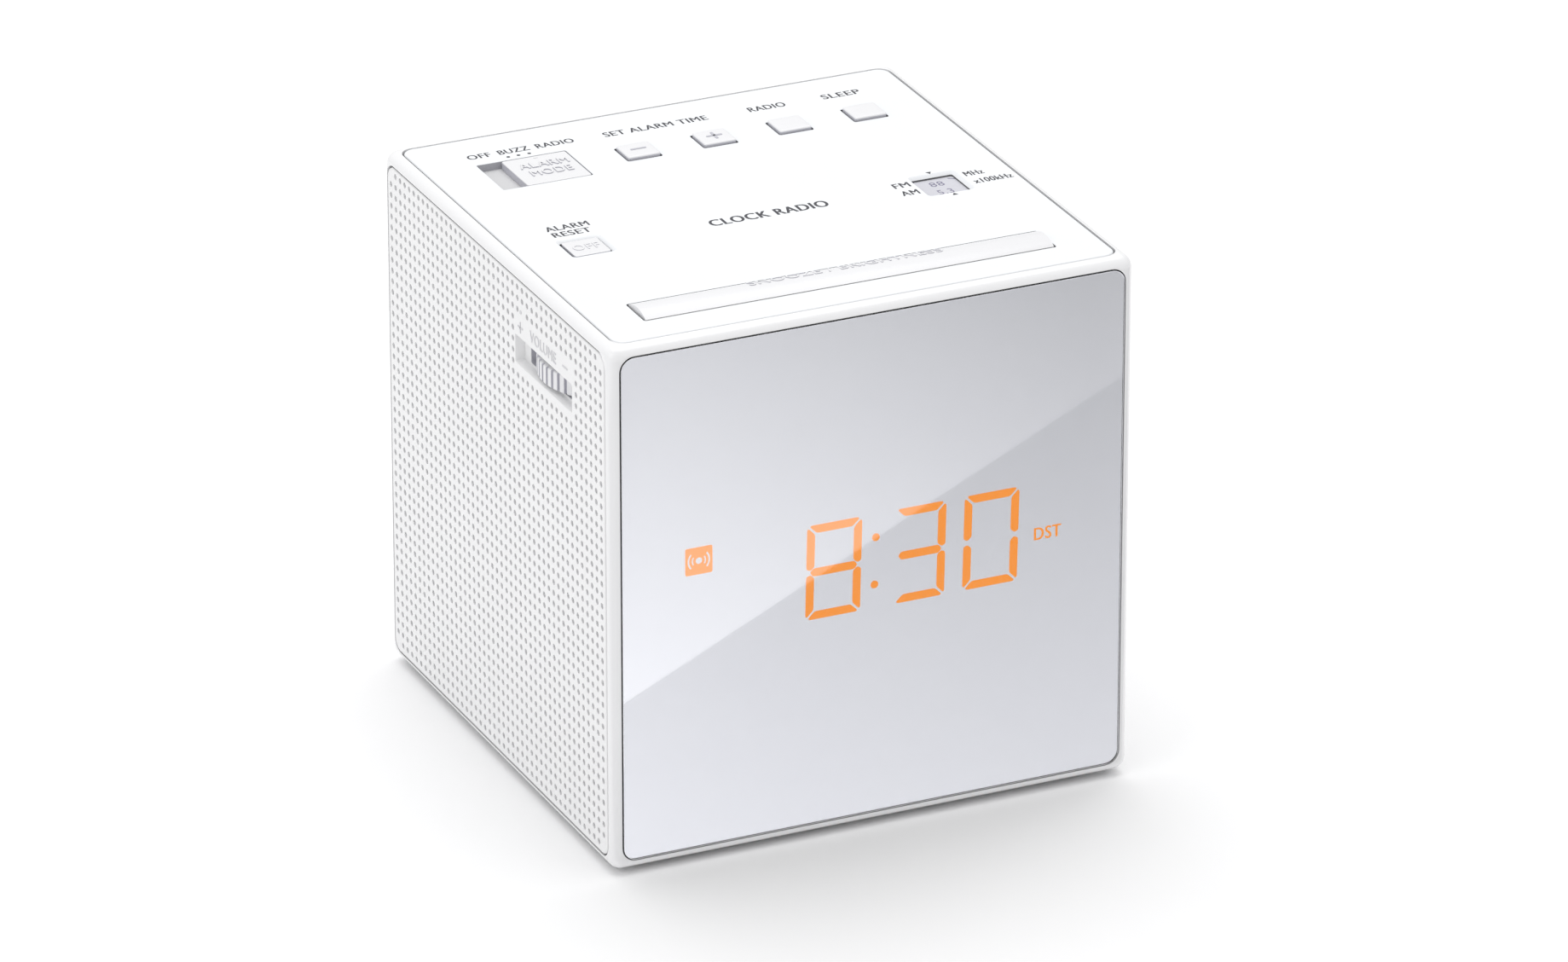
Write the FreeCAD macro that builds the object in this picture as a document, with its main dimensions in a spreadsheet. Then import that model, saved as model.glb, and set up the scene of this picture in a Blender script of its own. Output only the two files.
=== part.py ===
import FreeCAD
import Part
import Sketcher
import math
import os
import re

os.makedirs("parts", exist_ok=True)
doc = FreeCAD.newDocument("clock_radio")
V = FreeCAD.Vector

# Driving sizes in millimetres. Z is up, the display faces -Y and the feet stand on Z = 0.
SIZES = [
    ("body_width", 101.5, "outer width of the cabinet"),
    ("body_depth", 101.5, "outer depth of the cabinet"),
    ("body_height", 100.5, "height of the cabinet without feet"),
    ("foot_height", 1.0, "how far the feet lift the cabinet"),
    ("edge_round", 2.5, "rounding of every outer edge"),
    ("frame_bar", 4.25, "thickness of the edge bars"),
    ("panel_width", 96.9, "width of the side, front and rear panels"),
    ("panel_height", 96.1, "height of the side, front and rear panels"),
    ("top_span", 96.6, "width and depth of the top and bottom plates"),
    ("panel_thick", 2.0, "thickness of every panel"),
    ("panel_gap", 0.35, "seam between a panel and the frame"),
    ("panel_round", 2.4, "corner rounding of a panel"),
    ("film_thick", 0.2, "mirror film behind the window"),
    ("board_thick", 1.6, "circuit boards"),
    ("key_board_top", 91.6, "upper face of the key board"),
    ("switch_height", 3.5, "height of a push switch body"),
    ("switch_side", 6.0, "side of a push switch body"),
    ("plunger_radius", 1.7, "push switch plunger"),
    ("key_travel", 0.8, "travel of every key"),
    ("key_width", 6.3, "square keys on the top"),
    ("key_depth", 6.0, "square keys on the top"),
    ("key_rise", 0.7, "height of a key over the top"),
    ("key_gap", 0.3, "gap around a key"),
    ("key_row", 29.7, "centre line of the row of square keys"),
    ("key_pitch", 15.0, "distance between two square keys"),
    ("key_first", -9.5, "centre of the first square key"),
    ("off_key_x", -35.45, "alarm off key centre"),
    ("off_key_y", -6.1, "alarm off key centre"),
    ("off_key_drop", 0.2, "alarm off key below the top"),
    ("snooze_width", 78.9, "snooze bar"),
    ("snooze_depth", 7.5, "snooze bar"),
    ("snooze_y", -37.15, "snooze bar centre line"),
    ("snooze_rise", 1.0, "height of the snooze arch"),
    ("recess_depth", 1.5, "depth of the alarm selector recess"),
    ("slider_x", -27.5, "selector knob centre at rest"),
    ("slider_y", 29.8, "selector knob centre"),
    ("slider_width", 12.5, "selector knob"),
    ("slider_depth", 12.2, "selector knob"),
    ("dial_x", 33.9, "tuning axis"),
    ("dial_y", 1.2, "tuning axis"),
    ("dial_radius", 12.1, "numbered disc of the tuning wheel"),
    ("dial_top", 100.55, "upper face of the numbered disc"),
    ("tuning_radius", 16.85, "ridged rim of the tuning wheel"),
    ("tuning_low", 92.4, "lower face of the tuning rim"),
    ("tuning_thick", 3.2, "thickness of the tuning rim"),
    ("volume_radius", 15.0, "ridged rim of the volume wheel"),
    ("volume_y", -22.0, "volume wheel axis"),
    ("volume_low", 84.2, "lower face of the volume wheel"),
    ("volume_thick", 3.5, "thickness of the volume wheel"),
    ("scoop_depth", 1.9, "finger recess around a wheel"),
    ("scoop_height", 5.3, "finger recess around a wheel"),
    ("scoop_width", 24.8, "finger recess around a wheel"),
    ("scoop_floor", 1.2, "floor of a finger recess"),
    ("hole_pitch", 2.13, "spacing of the grille holes"),
    ("hole_radius", 0.53, "grille hole"),
    ("grille_y", 2.13, "centre of the open grille field"),
    ("grille_z", 42.73, "centre of the open grille field"),
    ("grille_field", 16.5, "radius of the open grille field"),
    ("speaker_radius", 28.5, "speaker basket rim"),
    ("digit_height", 18.2, "height of a clock digit"),
    ("digit_width", 10.9, "width of a clock digit"),
    ("digit_stroke", 1.45, "width of one digit segment"),
    ("digit_low", 42.95, "lower edge of the digits"),
    ("main_board_y", 37.0, "front face of the main board"),
    ("rear_key_z", 80.0, "centre line of the rear keys"),
    ("cell_radius", 10.0, "coin cell"),
    ("cell_thick", 3.2, "coin cell"),
    ("screw_radius", 1.25, "thread of a case screw"),
    ("screw_head", 2.4, "head of a case screw"),
]

sheet = doc.addObject("Spreadsheet::Sheet", "Sizes")
size = {}
for row, (alias, value, note) in enumerate(SIZES, start=1):
    sheet.set(f"A{row}", alias)
    sheet.set(f"B{row}", str(value))
    sheet.set(f"C{row}", note)
    sheet.setAlias(f"B{row}", alias)
    size[alias] = value
doc.recompute()

AXIS_TURN = {
    "X": FreeCAD.Rotation(V(0, 1, 0), 90),
    "Y": FreeCAD.Rotation(V(1, 0, 0), -90),
    "Z": FreeCAD.Rotation(),
}
# For each outer face: the direction to the right, the direction up and the outward normal.
FACE_AXES = {
    "front": (V(1, 0, 0), V(0, 0, 1), V(0, -1, 0)),
    "rear": (V(-1, 0, 0), V(0, 0, 1), V(0, 1, 0)),
    "left": (V(0, -1, 0), V(0, 0, 1), V(-1, 0, 0)),
    "right": (V(0, 1, 0), V(0, 0, 1), V(1, 0, 0)),
    "top": (V(1, 0, 0), V(0, 1, 0), V(0, 0, 1)),
    "bottom": (V(1, 0, 0), V(0, -1, 0), V(0, 0, -1)),
}


def with_sheet(text):
    """Point every size name in an expression at the sheet."""
    def swap(match):
        word = match.group()
        return "Sizes." + word if word in size else word
    return re.sub(r"[A-Za-z_]\w*", swap, str(text))


def bind(thing, prop, text):
    thing.setExpression(prop, with_sheet(text))


def place(thing, corner, turn=None):
    """Put an object at a corner given as three expressions."""
    if turn is not None:
        thing.Placement = FreeCAD.Placement(V(0, 0, 0), turn)
    for letter, text in zip("xyz", corner):
        bind(thing, "Placement.Base." + letter, text)
    return thing


def block(name, sides, corner):
    box = doc.addObject("Part::Box", name)
    for prop, text in zip(("Length", "Width", "Height"), sides):
        bind(box, prop, text)
    return place(box, corner)


def centred_block(name, sides, centre):
    """A block given by its sides, the centre in X and Y and the lower face in Z."""
    corner = (f"{centre[0]} - ({sides[0]}) / 2", f"{centre[1]} - ({sides[1]}) / 2", centre[2])
    return block(name, sides, corner)


def rod(name, radius, length, start, axis="Z"):
    cylinder = doc.addObject("Part::Cylinder", name)
    bind(cylinder, "Radius", radius)
    bind(cylinder, "Height", length)
    return place(cylinder, start, AXIS_TURN[axis])


def cone(name, radius_start, radius_end, length, start, axis="Z"):
    shape = doc.addObject("Part::Cone", name)
    bind(shape, "Radius1", radius_start)
    bind(shape, "Radius2", radius_end)
    bind(shape, "Height", length)
    return place(shape, start, AXIS_TURN[axis])


def fuse(name, things):
    joined = doc.addObject("Part::MultiFuse", name)
    joined.Shapes = things
    joined.Refine = True
    return joined


def group(name, things):
    """Identical separate pieces that share one name."""
    together = doc.addObject("Part::Compound", name)
    together.Links = things
    return together


def cut(name, base, tools):
    result = doc.addObject("Part::Cut", name)
    result.Base = base
    result.Tool = tools[0] if len(tools) == 1 else fuse(name + "_tools", tools)
    result.Refine = True
    return result


def edges_along(shape, axis):
    """Numbers of the straight edges that run along one axis."""
    found = []
    for number, edge in enumerate(shape.Edges, start=1):
        if len(edge.Vertexes) != 2:
            continue
        run = edge.Vertexes[1].Point - edge.Vertexes[0].Point
        if run.Length > 1e-6 and abs(run.normalize().dot(axis)) > 0.999:
            found.append(number)
    return found


def rounded(name, base, radius, numbers):
    doc.recompute()
    smooth = doc.addObject("Part::Fillet", name)
    smooth.Base = base
    smooth.Edges = [(number, radius, radius) for number in numbers]
    return smooth


def frustum(name, centre, lower, upper, low, high):
    """A block whose upper face has another size than its lower face."""
    wedge = doc.addObject("Part::Wedge", name)
    bind(wedge, "Ymin", 0)
    bind(wedge, "Ymax", f"({high}) - ({low})")
    for letter, side, other in (("X", lower[0], upper[0]), ("Z", lower[1], upper[1])):
        bind(wedge, letter + "min", f"-({side}) / 2")
        bind(wedge, letter + "max", f"({side}) / 2")
        bind(wedge, letter + "2min", f"-({other}) / 2")
        bind(wedge, letter + "2max", f"({other}) / 2")
    return place(wedge, (centre[0], centre[1], low), FreeCAD.Rotation(V(1, 0, 0), 90))


def draw_rectangle(sketch, tag, centre, sides):
    """A rectangle held by its lower left corner and its two sides."""
    first = sketch.GeometryCount
    points = [V(0, 0, 0), V(10, 0, 0), V(10, 10, 0), V(0, 10, 0)]
    for start in range(4):
        sketch.addGeometry(Part.LineSegment(points[start], points[(start + 1) % 4]), False)
    for start in range(4):
        following = first + (start + 1) % 4
        sketch.addConstraint(Sketcher.Constraint("Coincident", first + start, 2, following, 1))
    for line, kind in ((0, "Horizontal"), (1, "Vertical"), (2, "Horizontal"), (3, "Vertical")):
        sketch.addConstraint(Sketcher.Constraint(kind, first + line))
    entries = [
        ("across_" + tag, Sketcher.Constraint("DistanceX", first, 1, first, 2, 10.0), sides[0]),
        ("along_" + tag, Sketcher.Constraint("DistanceY", first + 1, 1, first + 1, 2, 10.0), sides[1]),
        ("start_x_" + tag, Sketcher.Constraint("DistanceX", -1, 1, first, 1, 0.5),
         f"({centre[0]}) - ({sides[0]}) / 2"),
        ("start_y_" + tag, Sketcher.Constraint("DistanceY", -1, 1, first, 1, 0.5),
         f"({centre[1]}) - ({sides[1]}) / 2"),
    ]
    add_named(sketch, entries)


def draw_circle(sketch, tag, centre, radius):
    first = sketch.GeometryCount
    sketch.addGeometry(Part.Circle(V(1, 1, 0), V(0, 0, 1), 1.0), False)
    entries = [
        ("radius_" + tag, Sketcher.Constraint("Radius", first, 1.0), radius),
        ("centre_x_" + tag, Sketcher.Constraint("DistanceX", -1, 1, first, 3, 0.5), centre[0]),
        ("centre_y_" + tag, Sketcher.Constraint("DistanceY", -1, 1, first, 3, 0.5), centre[1]),
    ]
    add_named(sketch, entries)


def add_named(sketch, entries):
    for name, constraint, text in entries:
        number = sketch.addConstraint(constraint)
        sketch.renameConstraint(number, name)
        bind(sketch, "Constraints." + name, text)


def new_sketch(body, name):
    sketch = body.newObject("Sketcher::SketchObject", name)
    plane = [item for item in body.Origin.OriginFeatures if item.Role == "XY_Plane"][0]
    sketch.AttachmentSupport = (plane, [""])
    sketch.MapMode = "FlatFace"
    return sketch


def plate(name, face, sides, thick, origin, radius=None, boxes=(), circles=()):
    """A flat plate with square and round openings, drawn on its inner face.

    The openings are given in the plate's own frame: right and up as seen from outside.
    """
    body = doc.addObject("PartDesign::Body", name)
    outline = new_sketch(body, name + "_outline")
    draw_rectangle(outline, "plate", ("0", "0"), sides)
    for number, (centre, opening) in enumerate(boxes):
        draw_rectangle(outline, f"box{number}", centre, opening)
    for number, (centre, opening) in enumerate(circles):
        draw_circle(outline, f"hole{number}", centre, opening)
    pad = body.newObject("PartDesign::Pad", name + "_pad")
    pad.Profile = outline
    bind(pad, "Length", thick)
    doc.recompute()
    if radius is not None:
        corners = []
        for number in edges_along(pad.Shape, V(0, 0, 1)):
            point = pad.Shape.Edges[number - 1].Vertexes[0].Point
            bounds = pad.Shape.BoundBox
            if abs(abs(point.x) - bounds.XMax) < 1e-4 and abs(abs(point.y) - bounds.YMax) < 1e-4:
                corners.append(f"Edge{number}")
        smooth = body.newObject("PartDesign::Fillet", name + "_corners")
        smooth.Base = (pad, corners)
        bind(smooth, "Radius", radius)
    across, up, out = FACE_AXES[face]
    return place(body, origin, FreeCAD.Rotation(across, up, out, "ZXY"))


def round_post(name, radius, bore, low, high, centre):
    """An upright post with a blind bore from below."""
    post = rod(name + "_post", radius, f"({high}) - ({low})", (centre[0], centre[1], low))
    hole = rod(name + "_bore", bore, f"({high}) - ({low}) - 1.5", (centre[0], centre[1], low))
    return post, hole


def screw(name, head, head_thick, thread, length, start, axis, sign):
    """A screw that starts with its head at a point and runs along an axis."""
    turn = AXIS_TURN[axis]
    if sign < 0:
        turn = turn.multiply(FreeCAD.Rotation(V(1, 0, 0), 180))
    cap = doc.addObject("Part::Cylinder", name + "_head")
    bind(cap, "Radius", head)
    bind(cap, "Height", head_thick)
    shank = doc.addObject("Part::Cylinder", name + "_shank")
    bind(shank, "Radius", thread)
    bind(shank, "Height", length)
    slot = doc.addObject("Part::Box", name + "_slot")
    bind(slot, "Length", f"({head}) * 1.2")
    bind(slot, "Width", 0.5)
    bind(slot, "Height", 0.5)
    slot.Placement = FreeCAD.Placement(V(0, 0, 0), FreeCAD.Rotation())
    bind(slot, "Placement.Base.x", f"-({head}) * 0.6")
    bind(slot, "Placement.Base.y", -0.25)
    cross = doc.addObject("Part::Box", name + "_cross")
    bind(cross, "Length", 0.5)
    bind(cross, "Width", f"({head}) * 1.2")
    bind(cross, "Height", 0.5)
    bind(cross, "Placement.Base.x", -0.25)
    bind(cross, "Placement.Base.y", f"-({head}) * 0.6")
    solid = fuse(name + "_solid", [cap, shank])
    result = cut(name, solid, [slot, cross])
    return place(result, start, turn)


def ridged_disc(name, radius, thick, ridges, depth, start):
    """A wheel rim with straight ridges around its edge."""
    points = []
    for step in range(4 * ridges):
        reach = radius if step % 4 in (0, 1) else radius - depth
        angle = 2 * math.pi * (step + 0.5) / (4 * ridges)
        points.append(V(reach * math.cos(angle), reach * math.sin(angle), 0))
    points.append(points[0])
    rim = doc.addObject("Part::Feature", name)
    rim.Shape = Part.Face(Part.makePolygon(points)).extrude(V(0, 0, thick))
    rim.Placement = FreeCAD.Placement(V(*start), FreeCAD.Rotation())
    return rim


def hooks(name, face, origin):
    """Four snap hooks on the inner side of a panel that grip behind the frame bars."""
    across, up, out = FACE_AXES[face]
    turn = FreeCAD.Rotation(across, up, out, "ZXY")
    made = []
    for number, (side, level) in enumerate(((-1, -30), (-1, 30), (1, -30), (1, 30))):
        leg = doc.addObject("Part::Box", f"{name}_leg{number}")
        lip = doc.addObject("Part::Box", f"{name}_lip{number}")
        for part_box, reach, low, high in ((leg, 0.9, -3.3, 0.0), (lip, 2.0, -3.3, -2.45)):
            part_box.Length = reach
            part_box.Width = 6.0
            part_box.Height = high - low
            start = 45.3 if side > 0 else -45.3 - reach
            offset = across * start + up * (level - 3.0) + out * low
            part_box.Placement = FreeCAD.Placement(V(*origin) + offset, turn)
        made += [leg, lip]
    return made


HALF_W = "body_width / 2"
HALF_D = "body_depth / 2"
MID_Z = "foot_height + body_height / 2"
TOP_Z = "foot_height + body_height"
half_w = size["body_width"] / 2
half_d = size["body_depth"] / 2
mid_z = size["foot_height"] + size["body_height"] / 2
top_z = size["foot_height"] + size["body_height"]
thick = size["panel_thick"]
nodes = {}


def keep(thing):
    nodes[thing.Label] = thing
    return thing


# Cabinet frame: a rounded cube reduced to its twelve edge bars, with a rebate in every face.
outer = block("frame_block", ("body_width", "body_depth", "body_height"),
              ("-" + HALF_W, "-" + HALF_D, "foot_height"))
doc.recompute()
outer_round = rounded("frame_rounded", outer, size["edge_round"], range(1, 13))
inner = ("body_width - 2 * frame_bar", "body_depth - 2 * frame_bar", "body_height - 2 * frame_bar")
through = []
for axis in range(3):
    sides = list(inner)
    sides[axis] = "body_width + 10"
    corner = [f"-({sides[0]}) / 2", f"-({sides[1]}) / 2", f"{MID_Z} - ({sides[2]}) / 2"]
    through.append(block(f"frame_opening{axis}", sides, corner))
rebates = []
deep = "(panel_thick + 5)"
wide = "(panel_width + 2 * panel_gap)"
tall = "(panel_height + 2 * panel_gap)"
span = "(top_span + 2 * panel_gap)"
REBATES = [
    ("front", (wide, deep, tall), (f"-{wide} / 2", f"-{HALF_D} - 5", f"{MID_Z} - {tall} / 2"), V(0, 1, 0)),
    ("rear", (wide, deep, tall), (f"-{wide} / 2", f"{HALF_D} - panel_thick", f"{MID_Z} - {tall} / 2"),
     V(0, 1, 0)),
    ("left", (deep, wide, tall), (f"-{HALF_W} - 5", f"-{wide} / 2", f"{MID_Z} - {tall} / 2"), V(1, 0, 0)),
    ("right", (deep, wide, tall), (f"{HALF_W} - panel_thick", f"-{wide} / 2", f"{MID_Z} - {tall} / 2"),
     V(1, 0, 0)),
    ("top", (span, span, deep), (f"-{span} / 2", f"-{span} / 2", f"{TOP_Z} - panel_thick"), V(0, 0, 1)),
    ("bottom", (span, span, deep), (f"-{span} / 2", f"-{span} / 2", "foot_height - 5"), V(0, 0, 1)),
]
for face, sides, corner, axis in REBATES:
    room = block(f"rebate_{face}_block", sides, corner)
    doc.recompute()
    rebates.append(rounded(f"rebate_{face}", room, size["panel_round"] + size["panel_gap"],
                           edges_along(room.Shape, axis)))
bars = cut("frame_bars", outer_round, through + rebates)
lugs = []
lug_holes = []
for side in (-1, 1):
    for level in (8.0, 94.0):
        low = 4.6 if level < 50 else 91.0
        start = 40.5 if side > 0 else -47.5
        lugs.append(block(f"rear_lug{side}{int(level)}".replace("-", "m"), ("7", "5.35", "6.9"),
                          (start, 43.4, low)))
        lug_holes.append(rod(f"rear_lug_hole{side}{int(level)}".replace("-", "m"), "screw_radius + 0.05",
                             "7", (side * 43.5, 42.4, level), "Y"))
    for level in (30.0, 74.0):
        start = 42.5 if side > 0 else -47.5
        lugs.append(block(f"display_lug{side}{int(level)}".replace("-", "m"), ("5", "5.4", "6"),
                          (start, -48.0, level - 3)))
        lug_holes.append(rod(f"display_lug_hole{side}{int(level)}".replace("-", "m"),
                             "0.85", "5.4", (side * 44.0, -47.8, level), "Y"))
    for depth in (-1, 1):
        start = 38.5 if depth > 0 else -47.5
        lugs.append(block(f"base_lug{side}{depth}".replace("-", "m"), ("7", "9", "5"),
                          (side * 34.0 - 3.5, start, 3.0)))
        lug_holes.append(rod(f"base_lug_hole{side}{depth}".replace("-", "m"), "screw_radius + 0.05",
                             "4", (side * 34.0, depth * 43.0, 2.5)))
frame_solid = fuse("frame_with_lugs", [bars] + lugs)
keep(cut("cabinet_frame", frame_solid, lug_holes))

# Top plate: openings for the keys, the snooze bar and the dial, with posts for the key board.
KEY_NAMES = ["minus", "plus", "radio", "sleep"]
key_spots = {}
for number, name in enumerate(KEY_NAMES):
    key_spots[name] = (f"key_first + {number} * key_pitch", "key_row")
openings = []
for name in KEY_NAMES:
    openings.append((key_spots[name], ("key_width + 2 * key_gap", "key_depth + 2 * key_gap")))
openings.append((("0", "snooze_y"), ("snooze_width + 0.7", "snooze_depth + 0.7")))
top_base = plate("top_plate_base", "top", ("top_span", "top_span"), "panel_thick",
                 ("0", "0", f"{TOP_Z} - panel_thick"), "panel_round", openings)
top_under = f"({TOP_Z} - panel_thick)"
selector_boss = centred_block("selector_boss", ("20.4", "15.4", "1.7"),
                              ("-29.8", "slider_y", f"{top_under} - 1.2"))
posts = []
bores = []
POSTS = [(-43.3, -38.0), (43.3, -38.0), (-43.3, 40.0), (43.3, 40.0)]
for number, (x, y) in enumerate(POSTS):
    post, bore = round_post(f"board_post{number}", "2.1", "0.85", "key_board_top",
                            f"{top_under} + 0.5", (x, y))
    posts.append(post)
    bores.append(bore)
top_solid = fuse("top_plate_solid",
                 [top_base, selector_boss] + posts + hooks("top_hook", "top", (0, 0, top_z - thick)))
top_cuts = [
    centred_block("selector_recess", ("17.5", "12.7", "recess_depth + 1"),
                  ("-29.8", "slider_y", f"{TOP_Z} - recess_depth")),
    centred_block("selector_slot", ("8.0", "2.6", "10"), ("slider_x - 2", "slider_y", f"{TOP_Z} - 6")),
    centred_block("off_opening", ("7.5", "7.2", "10"), ("off_key_x", "off_key_y", f"{TOP_Z} - 6")),
    frustum("off_bevel", ("off_key_x", "off_key_y"), ("7.5", "7.2"), ("8.1", "8.2"),
            f"{TOP_Z} - 0.5", f"{TOP_Z} + 0.0"),
    frustum("dial_window", ("dial_x", "-6.2"), ("8.2", "8.5"), ("9.1", "9.45"),
            f"{TOP_Z} - 0.6", f"{TOP_Z} + 0.0"),
    rod("dial_room", "dial_radius + 0.4", "1.4", ("dial_x", "dial_y", f"{top_under} - 0.0")),
]
keep(cut("top_plate", top_solid, top_cuts + bores))


def push_key(name, centre, sides, top, skirt):
    """A key cap with a wider collar below the plate and a stem that meets its switch."""
    low = f"(key_board_top + switch_height + 1.3)"
    collar_low = f"({TOP_Z} - panel_thick - 1.1)"
    cap = centred_block(name + "_cap", (sides[0], sides[1], f"({top}) - {collar_low}"),
                        (centre[0], centre[1], collar_low))
    doc.recompute()
    bounds = cap.Shape.BoundBox
    upper = []
    for number, edge in enumerate(cap.Shape.Edges, start=1):
        if all(abs(vertex.Z - bounds.ZMax) < 1e-6 for vertex in edge.Vertexes):
            upper.append(number)
    soft = rounded(name + "_soft", cap, 0.35, upper)
    collar = centred_block(name + "_collar", (f"{sides[0]} + {skirt}", f"{sides[1]} + {skirt}", "1.0"),
                           (centre[0], centre[1], collar_low))
    stem = rod(name + "_stem", "1.5", f"{collar_low} - {low} + 0.2", (centre[0], centre[1], low))
    return keep(fuse(name, [soft, collar, stem]))


def plunger(name, centre):
    low = "key_board_top + switch_height - 0.6"
    return keep(rod(name, "plunger_radius", "1.9", (centre[0], centre[1], low)))


for name in KEY_NAMES:
    push_key(name + "_key", key_spots[name], ("key_width", "key_depth"), f"{TOP_Z} + key_rise", "1.9")
    plunger(name + "_plunger", key_spots[name])
off_spot = ("off_key_x", "off_key_y")
push_key("alarm_off_key", off_spot, ("6.9", "6.6"), f"{TOP_Z} - off_key_drop", "1.9")
plunger("alarm_off_plunger", off_spot)

# Snooze bar: a shallow arch over its whole length, with a collar and one stem.
snooze_spot = ("0", "snooze_y")
collar_low = f"({TOP_Z} - panel_thick - 1.1)"
arch_radius = "((snooze_depth * snooze_depth / 4 + snooze_rise * snooze_rise) / (2 * snooze_rise))"
snooze_skirt = centred_block("snooze_skirt",
                             ("snooze_width", "snooze_depth", f"{TOP_Z} - {collar_low} + snooze_rise"),
                             ("0", "snooze_y", collar_low))
arch = rod("snooze_arch", arch_radius, "snooze_width",
           ("-snooze_width / 2", "snooze_y", f"{TOP_Z} + snooze_rise - {arch_radius}"), "X")
snooze_top = doc.addObject("Part::Common", "snooze_top")
snooze_top.Base = snooze_skirt
snooze_top.Tool = arch
snooze_body = centred_block("snooze_body", ("snooze_width", "snooze_depth", f"{TOP_Z} - {collar_low}"),
                            ("0", "snooze_y", collar_low))
snooze_collar = centred_block("snooze_collar", ("snooze_width + 2", "snooze_depth + 2.4", "1.0"),
                              ("0", "snooze_y", collar_low))
snooze_stem = rod("snooze_stem", "1.5", f"{collar_low} - (key_board_top + switch_height + 1.3) + 0.2",
                  ("0", "snooze_y", "key_board_top + switch_height + 1.3"))
keep(fuse("snooze_bar", [snooze_top, snooze_body, snooze_collar, snooze_stem]))
plunger("snooze_plunger", snooze_spot)

# Alarm selector: a flat knob that slides in the recess and carries a lever into its switch.
knob = centred_block("selector_plate", ("slider_width", "slider_depth", "recess_depth - 0.05"),
                     ("slider_x", "slider_y", f"{TOP_Z} - recess_depth + 0.05"))
lever = centred_block("selector_lever", ("3.0", "2.0", f"{TOP_Z} - key_board_top - 2.5"),
                      ("slider_x", "slider_y", "key_board_top + 2.0"))
keep(fuse("mode_slider", [knob, lever]))
mode_body = centred_block("mode_switch_body", ("12.0", "6.0", "switch_height"),
                          ("slider_x - 2", "slider_y", "key_board_top"))
mode_slot = centred_block("mode_switch_slot", ("8.0", "2.6", "3"),
                          ("slider_x - 2", "slider_y", "key_board_top + 1.5"))
keep(cut("mode_switch", mode_body, [mode_slot]))

# Push switches on the key board, one below every key.
switch_bodies = []
switch_spots = dict(key_spots)
switch_spots["alarm_off"] = off_spot
switch_spots["snooze"] = snooze_spot
for name, spot in switch_spots.items():
    case = centred_block(name + "_switch_case", ("switch_side", "switch_side", "switch_height"),
                         (spot[0], spot[1], "key_board_top"))
    well = rod(name + "_switch_well", "plunger_radius + 0.06", "5",
               (spot[0], spot[1], "key_board_top + switch_height - 1.55"))
    switch_bodies.append(cut(name + "_switch", case, [well]))
keep(group("key_switches", switch_bodies))

# Key board: hangs from the posts of the top plate.
board_low = "(key_board_top - board_thick)"
key_circles = [((str(x), str(y)), "1.1") for x, y in POSTS]
key_circles.append((("dial_x", "dial_y"), "3.6"))
keep(plate("key_board", "top", ("91.0", "86.0"), "board_thick", ("0", "-0.9", board_low), None,
           (), [((spot[0], f"{spot[1]} + 0.9"), hole) for spot, hole in key_circles]))
board_screws = []
for number, (x, y) in enumerate(POSTS):
    start = (x, y, f"{board_low} - 1.1")
    board_screws.append(screw(f"board_screw{number}", "1.7", "1.1", "0.8", "6.5", start, "Z", 1))

# Volume wheel with its potentiometer below the key board.
volume_x = f"(volume_radius - {HALF_W})"
volume_at = (size["volume_radius"] - half_w, size["volume_y"], size["volume_low"])
volume_rim = ridged_disc("volume_rim", size["volume_radius"], size["volume_thick"], 54, 0.4, volume_at)
volume_dish = rod("volume_dish", "volume_radius - 4", "1.6", (volume_x, "volume_y", "volume_low - 0.6"))
volume_pin = rod("volume_pin", "2.5", "1.9", (volume_x, "volume_y", "volume_low + volume_thick - 0.1"))
volume_cut = cut("volume_disc", volume_rim, [volume_dish])
keep(fuse("volume_wheel", [volume_cut, volume_pin]))
pot_case = rod("pot_case", "7.5", f"{board_low} - volume_low - volume_thick - 0.4",
               (volume_x, "volume_y", "volume_low + volume_thick + 0.4"))
pot_well = rod("pot_well", "2.55", "1.7", (volume_x, "volume_y", "volume_low + volume_thick + 0.3"))
keep(cut("volume_pot", pot_case, [pot_well]))

# Tuning wheel: ridged rim, numbered disc above it and a spindle into the tuning capacitor.
tuning_at = (size["dial_x"], size["dial_y"], size["tuning_low"])
tuning_rim = ridged_disc("tuning_rim", size["tuning_radius"], size["tuning_thick"], 60, 0.4, tuning_at)
tuning_drum = rod("tuning_drum", "8.0", "dial_top - tuning_low - 1.0",
                  ("dial_x", "dial_y", "tuning_low + 0.5"))
tuning_disc = rod("tuning_disc", "dial_radius", "1.2", ("dial_x", "dial_y", "dial_top - 1.2"))
tuning_pin = rod("tuning_spindle", "3.0", "8.5", ("dial_x", "dial_y", "tuning_low - 8.4"))
keep(fuse("tuning_wheel", [tuning_rim, tuning_drum, tuning_disc, tuning_pin]))
gang_case = centred_block("gang_case", ("20", "20", "12"), ("dial_x", "dial_y", f"{board_low} - 12"))
gang_well = rod("gang_well", "3.05", "9", ("dial_x", "dial_y", f"{board_low} - 6.5"))
keep(cut("tuning_capacitor", gang_case, [gang_well]))


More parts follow.
